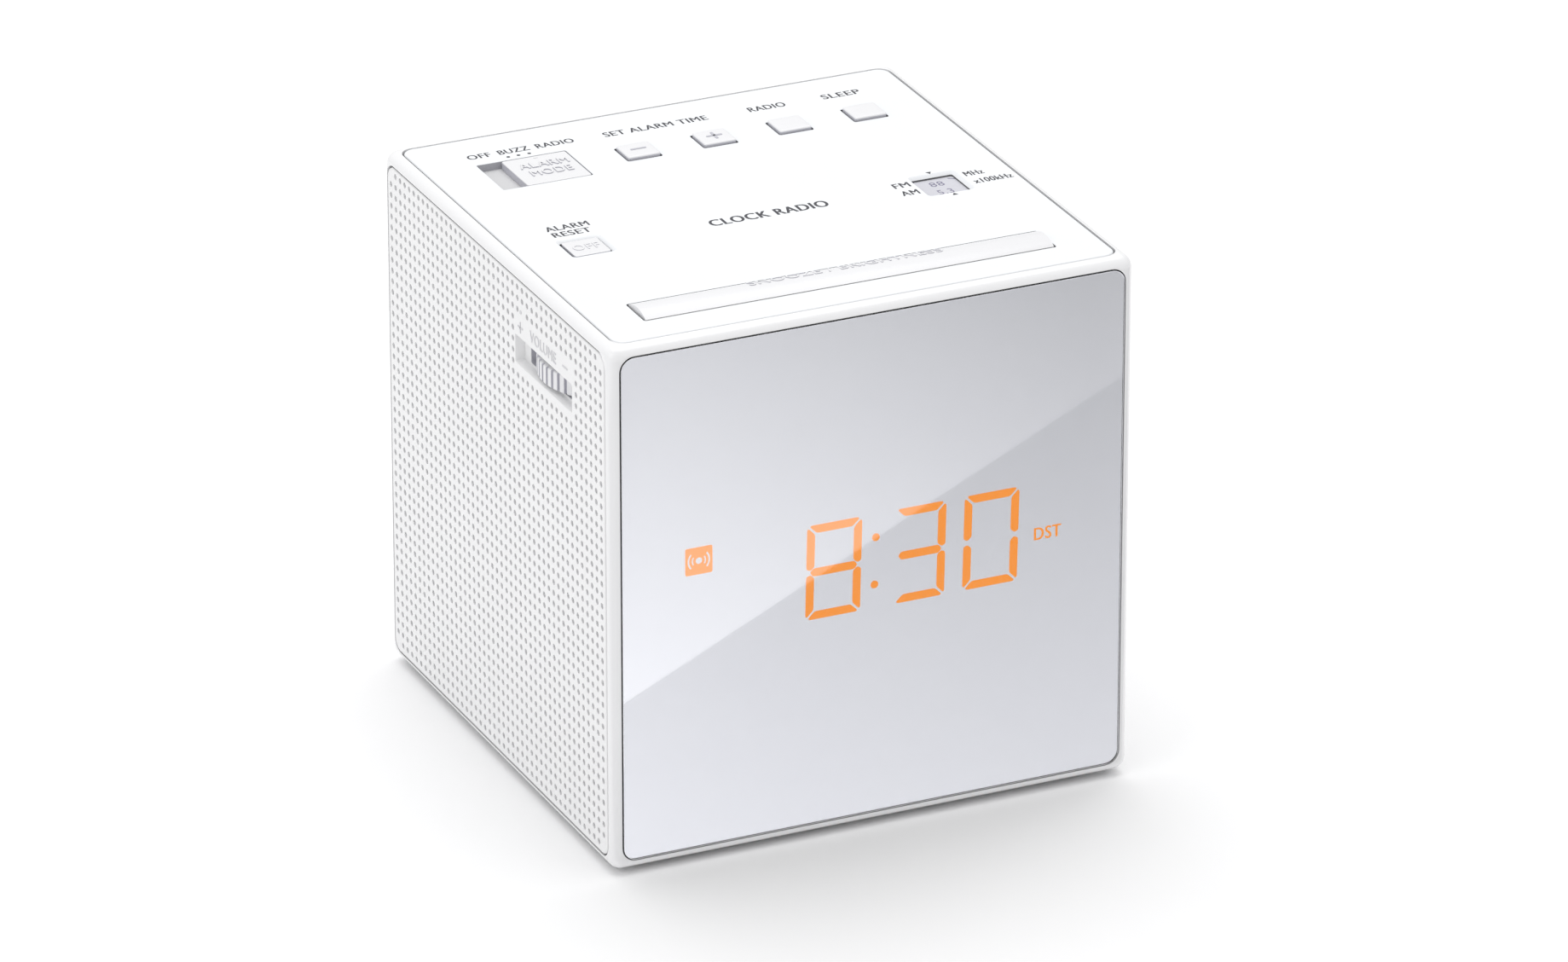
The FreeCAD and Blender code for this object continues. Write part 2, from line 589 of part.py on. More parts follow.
def side_panel(name, face, wheel_y, wheel_low, wheel_thick, wheel_radius, holes):
    """A side panel with its finger recess, the slot for a thumb wheel and snap hooks."""
    side = -1 if face == "left" else 1
    outer_x = side * half_w
    inner_x = outer_x - side * thick
    base = plate(name + "_plate", face, ("panel_width", "panel_height"), "panel_thick",
                 (inner_x, "0", MID_Z), "panel_round", (), holes)
    centre_z = wheel_low + wheel_thick / 2
    width = size["scoop_width"] if wheel_radius < 16 else size["scoop_width"] + 1.2
    height = size["scoop_height"]
    back = size["scoop_depth"] + size["scoop_floor"] - thick
    boss = centred_block(name + "_boss", (back + 0.5, width + 2.4, height + 1.1),
                         (inner_x - side * (back - 0.5) / 2, wheel_y, centre_z - height / 2 - 0.7))
    scoop = centred_block(name + "_scoop", (2 * size["scoop_depth"], width, height),
                          (outer_x, wheel_y, centre_z - height / 2 + 0.1))
    floor_x = wheel_radius - size["scoop_depth"] - size["scoop_floor"]
    reach = math.sqrt(wheel_radius ** 2 - floor_x ** 2) + 0.7
    slot = centred_block(name + "_slot", (12, 2 * reach, wheel_thick + 0.8),
                         (outer_x, wheel_y, wheel_low - 0.4))
    extras = []
    if face == "left":
        for number, (y, z) in enumerate(SPEAKER_SCREWS):
            extras.append(rod(f"speaker_boss{number}", "2.6", "2.4", (inner_x - 0.4, y, z), "X"))
    solid = fuse(name + "_solid", [base, boss] + extras + hooks(name + "_hook", face, (inner_x, 0, mid_z)))
    cuts = [scoop, slot]
    if face == "left":
        for number, (y, z) in enumerate(SPEAKER_SCREWS):
            cuts.append(rod(f"speaker_bore{number}", "0.85", "2.2", (inner_x - 0.1, y, z), "X"))
    return keep(cut(name, solid, cuts))


speaker_y = size["grille_y"]
speaker_z = size["grille_z"]
SPEAKER_SCREWS = []
for turn in (45, 135, 225, 315):
    angle = math.radians(turn)
    reach = size["speaker_radius"] + 2.6
    SPEAKER_SCREWS.append((speaker_y + reach * math.cos(angle), speaker_z + reach * math.sin(angle)))

# The grille field in front of the speaker is open; its holes follow one square grid.
grille_holes = []
steps = int(size["grille_field"] / size["hole_pitch"]) + 1
for across in range(-steps, steps + 1):
    for up in range(-steps, steps + 1):
        y = across * size["hole_pitch"]
        z = up * size["hole_pitch"]
        if math.hypot(y, z) <= size["grille_field"]:
            spot = (f"-grille_y + {across} * hole_pitch", f"grille_z - ({MID_Z}) + {up} * hole_pitch")
            grille_holes.append((spot, "hole_radius"))
side_panel("left_panel", "left", size["volume_y"], size["volume_low"], size["volume_thick"],
           size["volume_radius"], grille_holes)
side_panel("right_panel", "right", size["dial_y"], size["tuning_low"], size["tuning_thick"],
           size["tuning_radius"], [])

# Front window with the mirror film behind it.
keep(plate("front_window", "front", ("panel_width", "panel_height"), "panel_thick - film_thick",
           ("0", f"-{HALF_D} + panel_thick - film_thick", MID_Z), "panel_round"))
keep(plate("display_film", "front", ("panel_width", "panel_height"), "film_thick",
           ("0", f"-{HALF_D} + panel_thick", MID_Z), "panel_round"))

# Clock display: segment bars in a housing on the display board.
digit_mid = "(digit_low + digit_height / 2)"
face_y = f"(-{HALF_D} + panel_thick + 0.3)"
DIGITS = [("ones", 22.8), ("tens", 9.2), ("hours", -7.8)]
SEGMENTS = [
    ("top", 0, 1, True), ("middle", 0, 0, True), ("bottom", 0, -1, True),
    ("upper_left", -1, 0.5, False), ("upper_right", 1, 0.5, False),
    ("lower_left", -1, -0.5, False), ("lower_right", 1, -0.5, False),
]
bars_made = []
for digit, centre in DIGITS:
    for name, across, up, level in SEGMENTS:
        x = f"{centre} + {across} * (digit_width - digit_stroke) / 2"
        z = f"{digit_mid} + {up} * (digit_height - digit_stroke) / 2"
        if level:
            sides = ("digit_width - 2 * digit_stroke - 0.4", "2.2", "digit_stroke")
        else:
            sides = ("digit_stroke", "2.2", "digit_height / 2 - digit_stroke")
        bars_made.append(block(f"{digit}_{name}", sides,
                               (f"{x} - ({sides[0]}) / 2", face_y, f"{z} - ({sides[2]}) / 2")))
for name, level in (("colon_low", "47.5"), ("colon_high", "56.5")):
    bars_made.append(rod(name, "0.72", "2.2", ("0.3", face_y, level), "Y"))
for name, up in (("ones_of_ten_high", 0.5), ("ones_of_ten_low", -0.5)):
    z = f"{digit_mid} + {up} * (digit_height - digit_stroke) / 2"
    bars_made.append(block(name, ("digit_stroke", "2.2", "digit_height / 2 - digit_stroke"),
                           ("-18.6", face_y, f"{z} - (digit_height / 2 - digit_stroke) / 2")))
bars_made.append(block("alarm_mark", ("5.2", "2.2", "5.1"), ("-36.4", face_y, "56.0")))
bars_made.append(block("summer_mark", ("5.2", "2.2", "2.4"), ("31.4", face_y, "50.0")))
keep(group("display_segments", bars_made))
housing = block("housing_block", ("80", "6", "28"), ("-40", face_y, "38"))
keep(cut("display_housing", housing, [group("segment_rooms", bars_made)]))
display_y = f"({face_y} + 6)"
lug_circles = [((x, f"{z} - ({MID_Z})"), "1.1") for x in ("-44", "44") for z in (30, 74)]
keep(plate("display_board", "front", ("92.0", "56.0"), "board_thick",
           ("0", f"{display_y} + board_thick", MID_Z), None, (), lug_circles))
board_front = half_d - thick - 6.3
for number, (x, z) in enumerate(((-44.0, 30), (44.0, 30), (-44.0, 74), (44.0, 74))):
    start = (x, -board_front + 2.7, z)
    board_screws.append(screw(f"display_screw{number}", "1.7", "1.1", "0.8", "6.5", start, "Y", -1))

# Bottom cover: battery cup with its screw boss, foot pockets and countersunk screw holes.
FEET = [(41.0, 33.0), (-41.0, 33.0), (41.0, -33.0), (-41.0, -33.0)]
BASE_SCREWS = [(34.0, 43.0), (-34.0, 43.0), (34.0, -43.0), (-34.0, -43.0)]
bottom_top = "(foot_height + panel_thick)"
base_holes = [((str(x), str(-y)), "screw_radius + 0.15") for x, y in BASE_SCREWS]
base_plate = plate("bottom_plate", "bottom", ("top_span", "top_span"), "panel_thick",
                   ("0", "0", bottom_top), "panel_round", (), base_holes)
cup = centred_block("battery_cup", ("25.4", "33.6", "6.6"), ("-24", "-18", 1.8))
base_solid = fuse("bottom_solid", [base_plate, cup])
base_cuts = [
    centred_block("door_room", ("22.4", "30.6", "2.65"), ("-24", "-18", 0.0)),
    centred_block("cell_room", ("22.4", "22.4", "5.2"), ("-24", "-14.1", 2.0)),
    rod("door_bore", "0.85", "4.0", ("-24", "-29.0", 2.6)),
]
for number, (x, y) in enumerate(FEET):
    base_cuts.append(rod(f"foot_pocket{number}", "5.05", "1.4", (x, y, 0)))
for number, (x, y) in enumerate(BASE_SCREWS):
    base_cuts.append(rod(f"base_head_room{number}", "screw_head + 0.15", "2.3", (x, y, 0)))
keep(cut("bottom_cover", base_solid, base_cuts))
keep(group("feet", [rod(f"foot{number}", "5.0", "foot_height + 0.4", (x, y, 0))
                    for number, (x, y) in enumerate(FEET)]))
door_plate = plate("door_plate", "bottom", ("21.8", "30.0"), "1.6", ("-24", "-18", 2.6), 1.0, (),
                   [(("0", "11.0"), "1.0")])
door_head_room = rod("door_head_room", "2.1", "1.1", ("-24", "-29.0", 0.9))
grip = centred_block("door_grip", ("9", "1.2", "0.5"), ("-24", "-7.5", 0.8))
keep(cut("battery_door", door_plate, [door_head_room, grip]))
keep(screw("door_screw", "1.9", "0.9", "0.8", "5.0", (-24, -29.0, 1.05), "Z", 1))
keep(rod("coin_cell", "cell_radius", "cell_thick", ("-24", "-14.1", 2.95)))
keep(centred_block("cell_contact", ("6", "18", "0.7"), ("-24", "-14.1", 6.2)))
case_screws = []
for number, (x, y) in enumerate(BASE_SCREWS):
    case_screws.append(screw(f"base_screw{number}", "screw_head", "1.2", "screw_radius", "5.3",
                             (x, y, 1.05), "Z", 1))

# Rear cover: vents, key openings, selector opening, cord gland and posts for the main board.
rear_inner = f"({HALF_D} - panel_thick)"
REAR_SCREWS = [(43.5, 8.0), (-43.5, 8.0), (43.5, 94.0), (-43.5, 94.0)]
REAR_KEYS = [("clock_key", "clock_plunger", 30.0), ("summer_key", "summer_plunger", 12.0)]
BOARD_POSTS = [(34.0, 16.0), (-34.0, 16.0), (34.0, 66.0), (-34.0, 66.0)]
rear_boxes = [((f"{-x}", f"rear_key_z - ({MID_Z})"), ("7.6", "5.6")) for _, _, x in REAR_KEYS]
rear_boxes.append((("24", f"rear_key_z - ({MID_Z})"), ("12.6", "5.6")))
for row in range(7):
    rear_boxes.append((("0", f"{row} * 3.6 - 13.0"), ("44", "1.6")))
rear_circles = [((f"{-x}", f"{z} - ({MID_Z})"), "screw_radius + 0.15") for x, z in REAR_SCREWS]
rear_circles.append((("24", f"13.0 - ({MID_Z})"), "4.0"))
rear_plate = plate("rear_plate", "rear", ("panel_width", "panel_height"), "panel_thick",
                   ("0", rear_inner, MID_Z), "panel_round", rear_boxes, rear_circles)
rear_posts = []
rear_cuts = []
for number, (x, z) in enumerate(BOARD_POSTS):
    rear_posts.append(rod(f"main_post{number}", "2.5", f"{rear_inner} - main_board_y - board_thick + 0.5",
                          (x, "main_board_y + board_thick", z), "Y"))
    rear_cuts.append(rod(f"main_bore{number}", "0.85", "7", (x, "main_board_y + board_thick - 0.5", z), "Y"))
for number, (x, z) in enumerate(REAR_SCREWS):
    rear_cuts.append(rod(f"rear_head_room{number}", "screw_head + 0.15", "3",
                         (x, f"{HALF_D} - 1.3", z), "Y"))
keep(cut("rear_cover", fuse("rear_solid", [rear_plate] + rear_posts), rear_cuts))
for number, (x, z) in enumerate(REAR_SCREWS):
    case_screws.append(screw(f"rear_screw{number}", "screw_head", "1.2", "screw_radius", "6.6",
                             (x, half_d - 0.05, z), "Y", -1))
keep(group("case_screws", case_screws))
gland_tube = rod("gland_tube", "3.95", "3.6", ("-24", f"{HALF_D} - 3.7", 13.0), "Y")
gland_flange = rod("gland_flange", "5.6", "1.6", ("-24", f"{rear_inner} - 1.6", 13.0), "Y")
gland_bore = rod("gland_bore", "2.1", "8", ("-24", f"{HALF_D} - 6", 13.0), "Y")
keep(cut("cord_gland", fuse("gland_solid", [gland_tube, gland_flange]), [gland_bore]))

# Rear keys, their switches and the waveband selector, all on the main board.
board_back = "(main_board_y + board_thick)"
rear_cases = []
for key_name, plunger_name, x in REAR_KEYS:
    cap = block(key_name + "_cap", ("7.0", f"{HALF_D} - {rear_inner} + 0.8", "5.0"),
                (x - 3.5, f"{rear_inner} - 1.1", "rear_key_z - 2.5"))
    collar = block(key_name + "_collar", ("9.0", "1.0", "7.0"),
                   (x - 4.5, f"{rear_inner} - 1.1", "rear_key_z - 3.5"))
    stem_start = f"({board_back} + switch_height + 1.3)"
    stem = rod(key_name + "_stem", "1.5", f"{rear_inner} - 1.1 - {stem_start} + 0.2",
               (x, stem_start, "rear_key_z"), "Y")
    keep(fuse(key_name, [cap, collar, stem]))
    keep(rod(plunger_name, "plunger_radius", "1.9",
             (x, f"{board_back} + switch_height - 0.6", "rear_key_z"), "Y"))
    case = block(key_name + "_case", ("switch_side", "switch_height", "switch_side"),
                 (f"{x} - switch_side / 2", board_back, "rear_key_z - switch_side / 2"))
    well = rod(key_name + "_well", "plunger_radius + 0.06", "5",
               (x, f"{board_back} + switch_height - 1.55", "rear_key_z"), "Y")
    rear_cases.append(cut(key_name + "_switch", case, [well]))
keep(group("rear_switches", rear_cases))
band_cap = block("band_cap", ("8", "2.8", "5"), ("-26", f"{rear_inner} - 1.1", "rear_key_z - 2.5"))
band_flange = block("band_flange", ("19", "1.0", "8"), ("-31.5", f"{rear_inner} - 1.1", "rear_key_z - 4"))
band_lever = block("band_lever", ("3", f"{rear_inner} - 1.0 - {board_back} - 2.0", "2"),
                   ("-23.5", f"{board_back} + 2.0", "rear_key_z - 1"))
keep(fuse("band_slider", [band_cap, band_flange, band_lever]))
band_case = block("band_case", ("12", "switch_height", "6"), ("-30", board_back, "rear_key_z - 3"))
band_slot = block("band_slot", ("8", "3", "2.6"), ("-28", f"{board_back} + 1.5", "rear_key_z - 1.3"))
keep(cut("band_switch", band_case, [band_slot]))

# Main board with its parts on the front side.
main_circles = [((f"{-x}", f"{z} - 50"), "1.1") for x, z in BOARD_POSTS]
keep(plate("main_board", "rear", ("76", "76"), "board_thick", ("0", "main_board_y", "50"), None, (),
           main_circles))
for number, (x, z) in enumerate(BOARD_POSTS):
    board_screws.append(screw(f"main_screw{number}", "1.7", "1.1", "0.8", "6.5",
                             (x, size["main_board_y"] - 1.1, z), "Y", 1))
keep(group("board_screws", board_screws))
keep(block("clock_chip", ("16", "2.4", "16"), ("8", "main_board_y - 2.4", "58")))
keep(block("radio_chip", ("9", "2.4", "18"), ("-16", "main_board_y - 2.4", "56")))
keep(group("capacitors", [rod(f"capacitor{number}", "4.0", "11", (8.0 + 10 * number, "main_board_y - 11", 44),
                              "Y") for number in range(3)]))

# Mains transformer clamped to the bottom cover.
core = block("core_block", ("36", "16", "30"), ("-2", "2", bottom_top))
windows = [block(f"core_window{side}", ("6", "18", "18"), (side, "1", f"{bottom_top} + 6"))
           for side in (4, 22)]
keep(cut("transformer_core", core, windows))
winding = block("winding_block", ("23.4", "27", "17.4"), ("4.3", "-3.5", f"{bottom_top} + 6.3"))
limb = block("winding_limb", ("12.2", "16.2", "20"), ("9.9", "1.9", f"{bottom_top} + 5"))
keep(cut("transformer_coil", winding, [limb]))
strap = block("strap_outer", ("38.4", "9", "31.1"), ("-3.2", "5.5", bottom_top))
strap_room = block("strap_room", ("36.2", "12", "31"), ("-2.1", "4", f"{bottom_top} - 0.95"))
ears = block("strap_ears", ("52", "9", "1"), ("-10", "5.5", bottom_top))
strap_holes = [rod(f"strap_hole{number}", "1.4", "3", (x, "10", 2)) for number, x in enumerate((-7, 39))]
keep(cut("transformer_strap", fuse("strap_solid", [strap, ears]), [strap_room] + strap_holes))

# Ferrite rod antenna below the key board.
keep(rod("ferrite_rod", "4.0", "60", ("-34", "24", "83.5"), "X"))
tube = rod("antenna_tube", "5.3", "14", ("-8", "24", "83.5"), "X")
tube_bore = rod("antenna_bore", "4.1", "16", ("-9", "24", "83.5"), "X")
keep(cut("antenna_coil", tube, [tube_bore]))
clips = []
for number, x in enumerate((-28.0, 16.0)):
    clip = block(f"clip_block{number}", ("4", "11", f"{board_low} - 78"), (x, "18.5", 78))
    clip_bore = rod(f"clip_bore{number}", "4.0", "6", (x - 1, "24", "83.5"), "X")
    clips.append(cut(f"rod_clip{number}", clip, [clip_bore]))
keep(group("rod_clips", clips))

# Speaker behind the open part of the left grille.
flange_x = size["panel_thick"] + 2.0 - half_w
at_speaker = ("grille_y", "grille_z")
rim = rod("basket_rim", "speaker_radius", "1.2", (flange_x,) + at_speaker, "X")
ears = [rod(f"basket_ear{number}", "3.4", "1.2", (flange_x, y, z), "X")
        for number, (y, z) in enumerate(SPEAKER_SCREWS)]
shell = cone("basket_shell", 26.0, 15.5, 13.0, (flange_x + 1.1,) + at_speaker, "X")
basket = fuse("basket_solid", [rim, shell] + ears)
basket_cuts = [
    cone("basket_hollow", 25.0, 14.5, 13.0, (flange_x - 0.1,) + at_speaker, "X"),
    rod("basket_throat", "10.5", "6", (flange_x + 10,) + at_speaker, "X"),
]
for number, (y, z) in enumerate(SPEAKER_SCREWS):
    basket_cuts.append(rod(f"basket_hole{number}", "1.1", "4", (flange_x - 1, y, z), "X"))
keep(cut("speaker_basket", basket, basket_cuts))
keep(rod("speaker_magnet", "15.0", "8.0", (flange_x + 14.1,) + at_speaker, "X"))
surround = rod("surround_ring", "28.0", "0.5", (flange_x - 0.5,) + at_speaker, "X")
paper = cone("paper_outer", 24.4, 9.0, 11.6, (flange_x - 0.1,) + at_speaker, "X")
paper_solid = fuse("paper_solid", [surround, paper])
paper_room = cone("paper_inner", 23.9, 8.5, 11.6, (flange_x - 0.6,) + at_speaker, "X")
keep(cut("speaker_cone", paper_solid, [paper_room]))
speaker_screws = [screw(f"speaker_screw{number}", "1.8", "1.0", "0.8", "4.0", (flange_x + 2.2, y, z), "X", -1)
                  for number, (y, z) in enumerate(SPEAKER_SCREWS)]
keep(group("speaker_screws", speaker_screws))

# Checks and the exchange files.
doc.recompute()
problems = []
for thing in doc.Objects:
    if "Invalid" in thing.State or "Error" in thing.State:
        problems.append(thing.Label + " " + str(thing.State))
for name, thing in nodes.items():
    if thing.Shape.isNull() or not thing.Shape.isValid():
        problems.append(name + " has no valid shape")
if problems:
    raise RuntimeError("; ".join(problems))
for name, thing in nodes.items():
    thing.Shape.exportStep(f"parts/{name}.step")
print(len(nodes), "sub-parts written")
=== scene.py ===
# Clock radio: a white cube with a half mirror window, glowing digits and a fine grille on each side.
# Object sizes in the dictionaries are in millimetres and are turned into metres when a mesh is made.
# The camera, the lights, the floor and the light card are in metres.
import bmesh
import bpy
import math
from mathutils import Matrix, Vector
from mathutils.geometry import delaunay_2d_cdt


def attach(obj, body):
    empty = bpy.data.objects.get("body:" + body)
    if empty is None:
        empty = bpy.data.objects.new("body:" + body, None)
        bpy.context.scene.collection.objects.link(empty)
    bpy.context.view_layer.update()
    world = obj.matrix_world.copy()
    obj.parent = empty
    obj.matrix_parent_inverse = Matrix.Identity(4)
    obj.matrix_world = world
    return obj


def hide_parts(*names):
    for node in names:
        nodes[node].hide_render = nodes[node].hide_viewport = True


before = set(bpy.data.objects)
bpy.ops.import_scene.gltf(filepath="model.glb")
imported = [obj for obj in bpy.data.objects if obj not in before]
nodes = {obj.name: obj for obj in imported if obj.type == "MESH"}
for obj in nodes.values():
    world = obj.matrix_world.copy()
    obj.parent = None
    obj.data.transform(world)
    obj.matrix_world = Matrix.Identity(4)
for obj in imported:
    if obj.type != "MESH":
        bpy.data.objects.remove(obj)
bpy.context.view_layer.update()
mm = 0.001


def newObject(name, data):
    thing = bpy.data.objects.new(name, data)
    bpy.context.scene.collection.objects.link(thing)
    return thing


def meshFrom(bm, name):
    mesh = bpy.data.meshes.new(name)
    bm.to_mesh(mesh)
    bm.free()
    return mesh


def meshOf(thing):
    return bpy.data.meshes.new_from_object(thing.evaluated_get(bpy.context.evaluated_depsgraph_get()))


def turnBack(thing, back):
    thing.rotation_mode = "QUATERNION"
    thing.rotation_quaternion = back.to_track_quat("Z", "Y")


# Camera: direction and distance from the middle of the body, then a slide across the view.
cameraSetup = {"azimuth": -24.672, "elevation": 24.149, "distance": 1.8425, "right": 0.00523,
               "up": -0.00399, "lens": 234.71, "sensor": 36.0, "clipEnd": 20.0, "aimHeight": 0.05125}


def makeCamera(setup):
    turn, lift = math.radians(setup["azimuth"]), math.radians(setup["elevation"])
    back = Vector((math.sin(turn) * math.cos(lift), -math.cos(turn) * math.cos(lift), math.sin(lift)))
    right = Vector((0, 0, 1)).cross(back).normalized()
    up = back.cross(right)
    data = bpy.data.cameras.new("camera")
    data.lens = setup["lens"]
    data.sensor_width = setup["sensor"]
    data.clip_end = setup["clipEnd"]
    camera = newObject("camera", data)
    aim = Vector((0, 0, setup["aimHeight"]))
    camera.location = aim + back * setup["distance"] + right * setup["right"] + up * setup["up"]
    turnBack(camera, back)
    bpy.context.scene.camera = camera


makeCamera(cameraSetup)
print("camera ready")


# Shader groups shared by several materials. Each gives a colour, a roughness and a height.
def newGroup(name, inputs):
    group = bpy.data.node_groups.new(name, "ShaderNodeTree")
    for label, value in inputs:
        kind = "NodeSocketColor" if isinstance(value, tuple) else "NodeSocketFloat"
        group.interface.new_socket(label, in_out="INPUT", socket_type=kind).default_value = value
    group.interface.new_socket("Colour", in_out="OUTPUT", socket_type="NodeSocketColor")
    for label in ("Roughness", "Height"):
        group.interface.new_socket(label, in_out="OUTPUT", socket_type="NodeSocketFloat")
    return group, group.nodes.new("NodeGroupInput").outputs, group.nodes.new("NodeGroupOutput").inputs


def addNode(tree, kind, links=(), **values):
    node = tree.nodes.new(kind)
    for key, value in values.items():
        setattr(node, key, value)
    for socket, source in links:
        if isinstance(source, bpy.types.NodeSocket):
            tree.links.new(source, node.inputs[socket])
        else:
            node.inputs[socket].default_value = source
    return node


def mathNode(tree, operation, *values, **settings):
    return addNode(tree, "ShaderNodeMath", enumerate(values), operation=operation, **settings).outputs[0]


def mixColour(tree, share, first, second):
    return addNode(tree, "ShaderNodeMix", (("Factor", share), (6, first), (7, second)),
                   data_type="RGBA").outputs[2]


def objectPlace(tree):
    return addNode(tree, "ShaderNodeTexCoord").outputs["Object"]


def noise(tree, place, scale, detail=3.0, distortion=0.0):
    return addNode(tree, "ShaderNodeTexNoise", (("Vector", place), ("Scale", scale), ("Detail", detail),
                                                ("Distortion", distortion))).outputs["Fac"]


def wave(tree, place, scale, axis, distortion=0.0):
    return addNode(tree, "ShaderNodeTexWave", (("Vector", place), ("Scale", scale),
                                               ("Distortion", distortion)),
                   bands_direction=axis).outputs["Fac"]


# Swings a value that runs from 0 to 1 to both sides of a middle.
def swing(tree, value, amount, middle):
    return mathNode(tree, "MULTIPLY_ADD", mathNode(tree, "SUBTRACT", value, 0.5), amount, middle)


def addBump(tree, shader, height, strength, distance=0.0001):
    relief = addNode(tree, "ShaderNodeBump", (("Height", height), ("Strength", strength),
                                              ("Distance", distance)))
    tree.links.new(relief.outputs[0], shader.inputs["Normal"])


# Moulded plastic: fine grain height, slow shade drift and faint handling marks in the roughness.
def makeMouldGroup():
    group, given, made = newGroup("mouldSurface", [
        ("Colour", (0.8, 0.8, 0.8, 1)), ("Drift", 0.04), ("Grain Scale", 3000.0), ("Roughness", 0.3),
        ("Marks", 0.1), ("Dust", 0.02)])
    place = objectPlace(group)
    dust = addNode(group, "ShaderNodeTexVoronoi", (("Vector", place), ("Scale", 420.0))).outputs["Distance"]
    speck = mathNode(group, "MULTIPLY", mathNode(group, "LESS_THAN", dust, 0.045), given["Dust"])
    amount = swing(group, noise(group, place, 45.0), given["Drift"], 1.0)
    shade = addNode(group, "ShaderNodeVectorMath", ((0, given["Colour"]), (3, amount)), operation="SCALE")
    group.links.new(mixColour(group, speck, shade.outputs[0], (0.32, 0.31, 0.29, 1)), made["Colour"])
    marked = swing(group, noise(group, place, 160.0, 6.0, 1.2), given["Marks"], given["Roughness"])
    group.links.new(mathNode(group, "ADD", marked, speck), made["Roughness"])
    group.links.new(noise(group, place, given["Grain Scale"]), made["Height"])
    return group


# Brushed or plated metal: streaks along one axis and tarnish in patches.
def makeMetalGroup():
    group, given, made = newGroup("metalSurface", [
        ("Colour", (0.6, 0.6, 0.6, 1)), ("Tarnish", (0.3, 0.28, 0.25, 1)), ("Amount", 0.2),
        ("Roughness", 0.3), ("Streaks", 0.15)])
    place = objectPlace(group)
    stretched = addNode(group, "ShaderNodeMapping", (("Vector", place), ("Scale", (120.0, 3000.0, 3000.0))))
    streak = noise(group, stretched.outputs[0], 1.0, 4.0)
    share = mathNode(group, "MULTIPLY", noise(group, place, 260.0, 5.0), given["Amount"])
    group.links.new(mixColour(group, share, given["Colour"], given["Tarnish"]), made["Colour"])
    group.links.new(swing(group, streak, given["Streaks"], given["Roughness"]), made["Roughness"])
    group.links.new(streak, made["Height"])
    return group


mouldGroup = makeMouldGroup()
metalGroup = makeMetalGroup()


# Sockets are the constants set directly on the shader.
def newMaterial(sockets):
    material = bpy.data.materials.new("finish")
    material.use_nodes = True
    tree = material.node_tree
    shader = tree.nodes["Principled BSDF"]
    for label, value in sockets.items():
        shader.inputs[label].default_value = value
    return material, tree, shader


def useGroup(tree, shader, group, values, bump):
    surface = tree.nodes.new("ShaderNodeGroup")
    surface.node_tree = group
    for label, value in values.items():
        surface.inputs[label].default_value = value
    tree.links.new(surface.outputs["Colour"], shader.inputs["Base Color"])
    tree.links.new(surface.outputs["Roughness"], shader.inputs["Roughness"])
    addBump(tree, shader, surface.outputs["Height"], bump)


def plastic(colour, roughness, grain=3000.0, bump=0.05, drift=0.03, marks=0.12, dust=0.0, **sockets):
    material, tree, shader = newMaterial(sockets)
    useGroup(tree, shader, mouldGroup, {"Colour": colour + (1,), "Drift": drift, "Grain Scale": grain,
                                        "Roughness": roughness, "Marks": marks, "Dust": dust}, bump)
    return material


def metal(colour, roughness, tarnish=(0.3, 0.28, 0.25), amount=0.2, streaks=0.15, bump=0.1):
    material, tree, shader = newMaterial({"Metallic": 1.0})
    useGroup(tree, shader, metalGroup, {"Colour": colour + (1,), "Tarnish": tarnish + (1,), "Amount": amount,
                                        "Roughness": roughness, "Streaks": streaks}, bump)
    return material


def glowing(colour, strength):
    material, tree, shader = newMaterial({"Emission Strength": strength, "Specular IOR Level": 0.0,
                                                "Roughness": 0.5})
    share = mathNode(tree, "MULTIPLY", noise(tree, objectPlace(tree), 220.0, 2.0), 0.25)
    warm = mixColour(tree, share, colour + (1,), tuple(0.8 * part for part in colour) + (1,))
    unlit = mixColour(tree, share, tuple(0.05 * part for part in colour) + (1,), (0.03, 0.01, 0.003, 1))
    tree.links.new(unlit, shader.inputs["Base Color"])
    tree.links.new(warm, shader.inputs["Emission Color"])
    return material


# Green board with traces and pads.
def boardMaterial():
    material, tree, shader = newMaterial({"Roughness": 0.35})
    cells = addNode(tree, "ShaderNodeTexVoronoi", (("Vector", objectPlace(tree)), ("Scale", 320.0)),
                    distance="CHEBYCHEV").outputs["Distance"]
    traces = mathNode(tree, "LESS_THAN", mathNode(tree, "PINGPONG", cells, 0.25), 0.09)
    colour = mixColour(tree, traces, (0.02, 0.11, 0.045, 1), (0.05, 0.22, 0.09, 1))
    tree.links.new(colour, shader.inputs["Base Color"])
    addBump(tree, shader, traces, 0.3)
    return material


# Stacked or wound material: fine parallel lines across one axis.
def stripedMaterial(first, second, pitch, axis, metallic, roughness):
    material, tree, shader = newMaterial({"Metallic": metallic, "Roughness": roughness})
    lines = wave(tree, objectPlace(tree), 0.32 / pitch, axis, 0.4)
    tree.links.new(mixColour(tree, lines, first + (1,), second + (1,)), shader.inputs["Base Color"])
    addBump(tree, shader, lines, 0.5, 0.0002)
    return material


# Woven pattern in two greys for the floors of the blind grille holes: painted shade at the bottom of each
# hole.
def wovenShadeMaterial(light, dark, threads):
    material, tree, shader = newMaterial({"Roughness": 0.9})
    place = objectPlace(tree)
    weave = mathNode(tree, "MULTIPLY", wave(tree, place, threads, "Y"), wave(tree, place, threads, "Z"))
    tree.links.new(mixColour(tree, weave, dark + (1,), light + (1,)), shader.inputs["Base Color"])
    addBump(tree, shader, weave, 0.6)
    return material


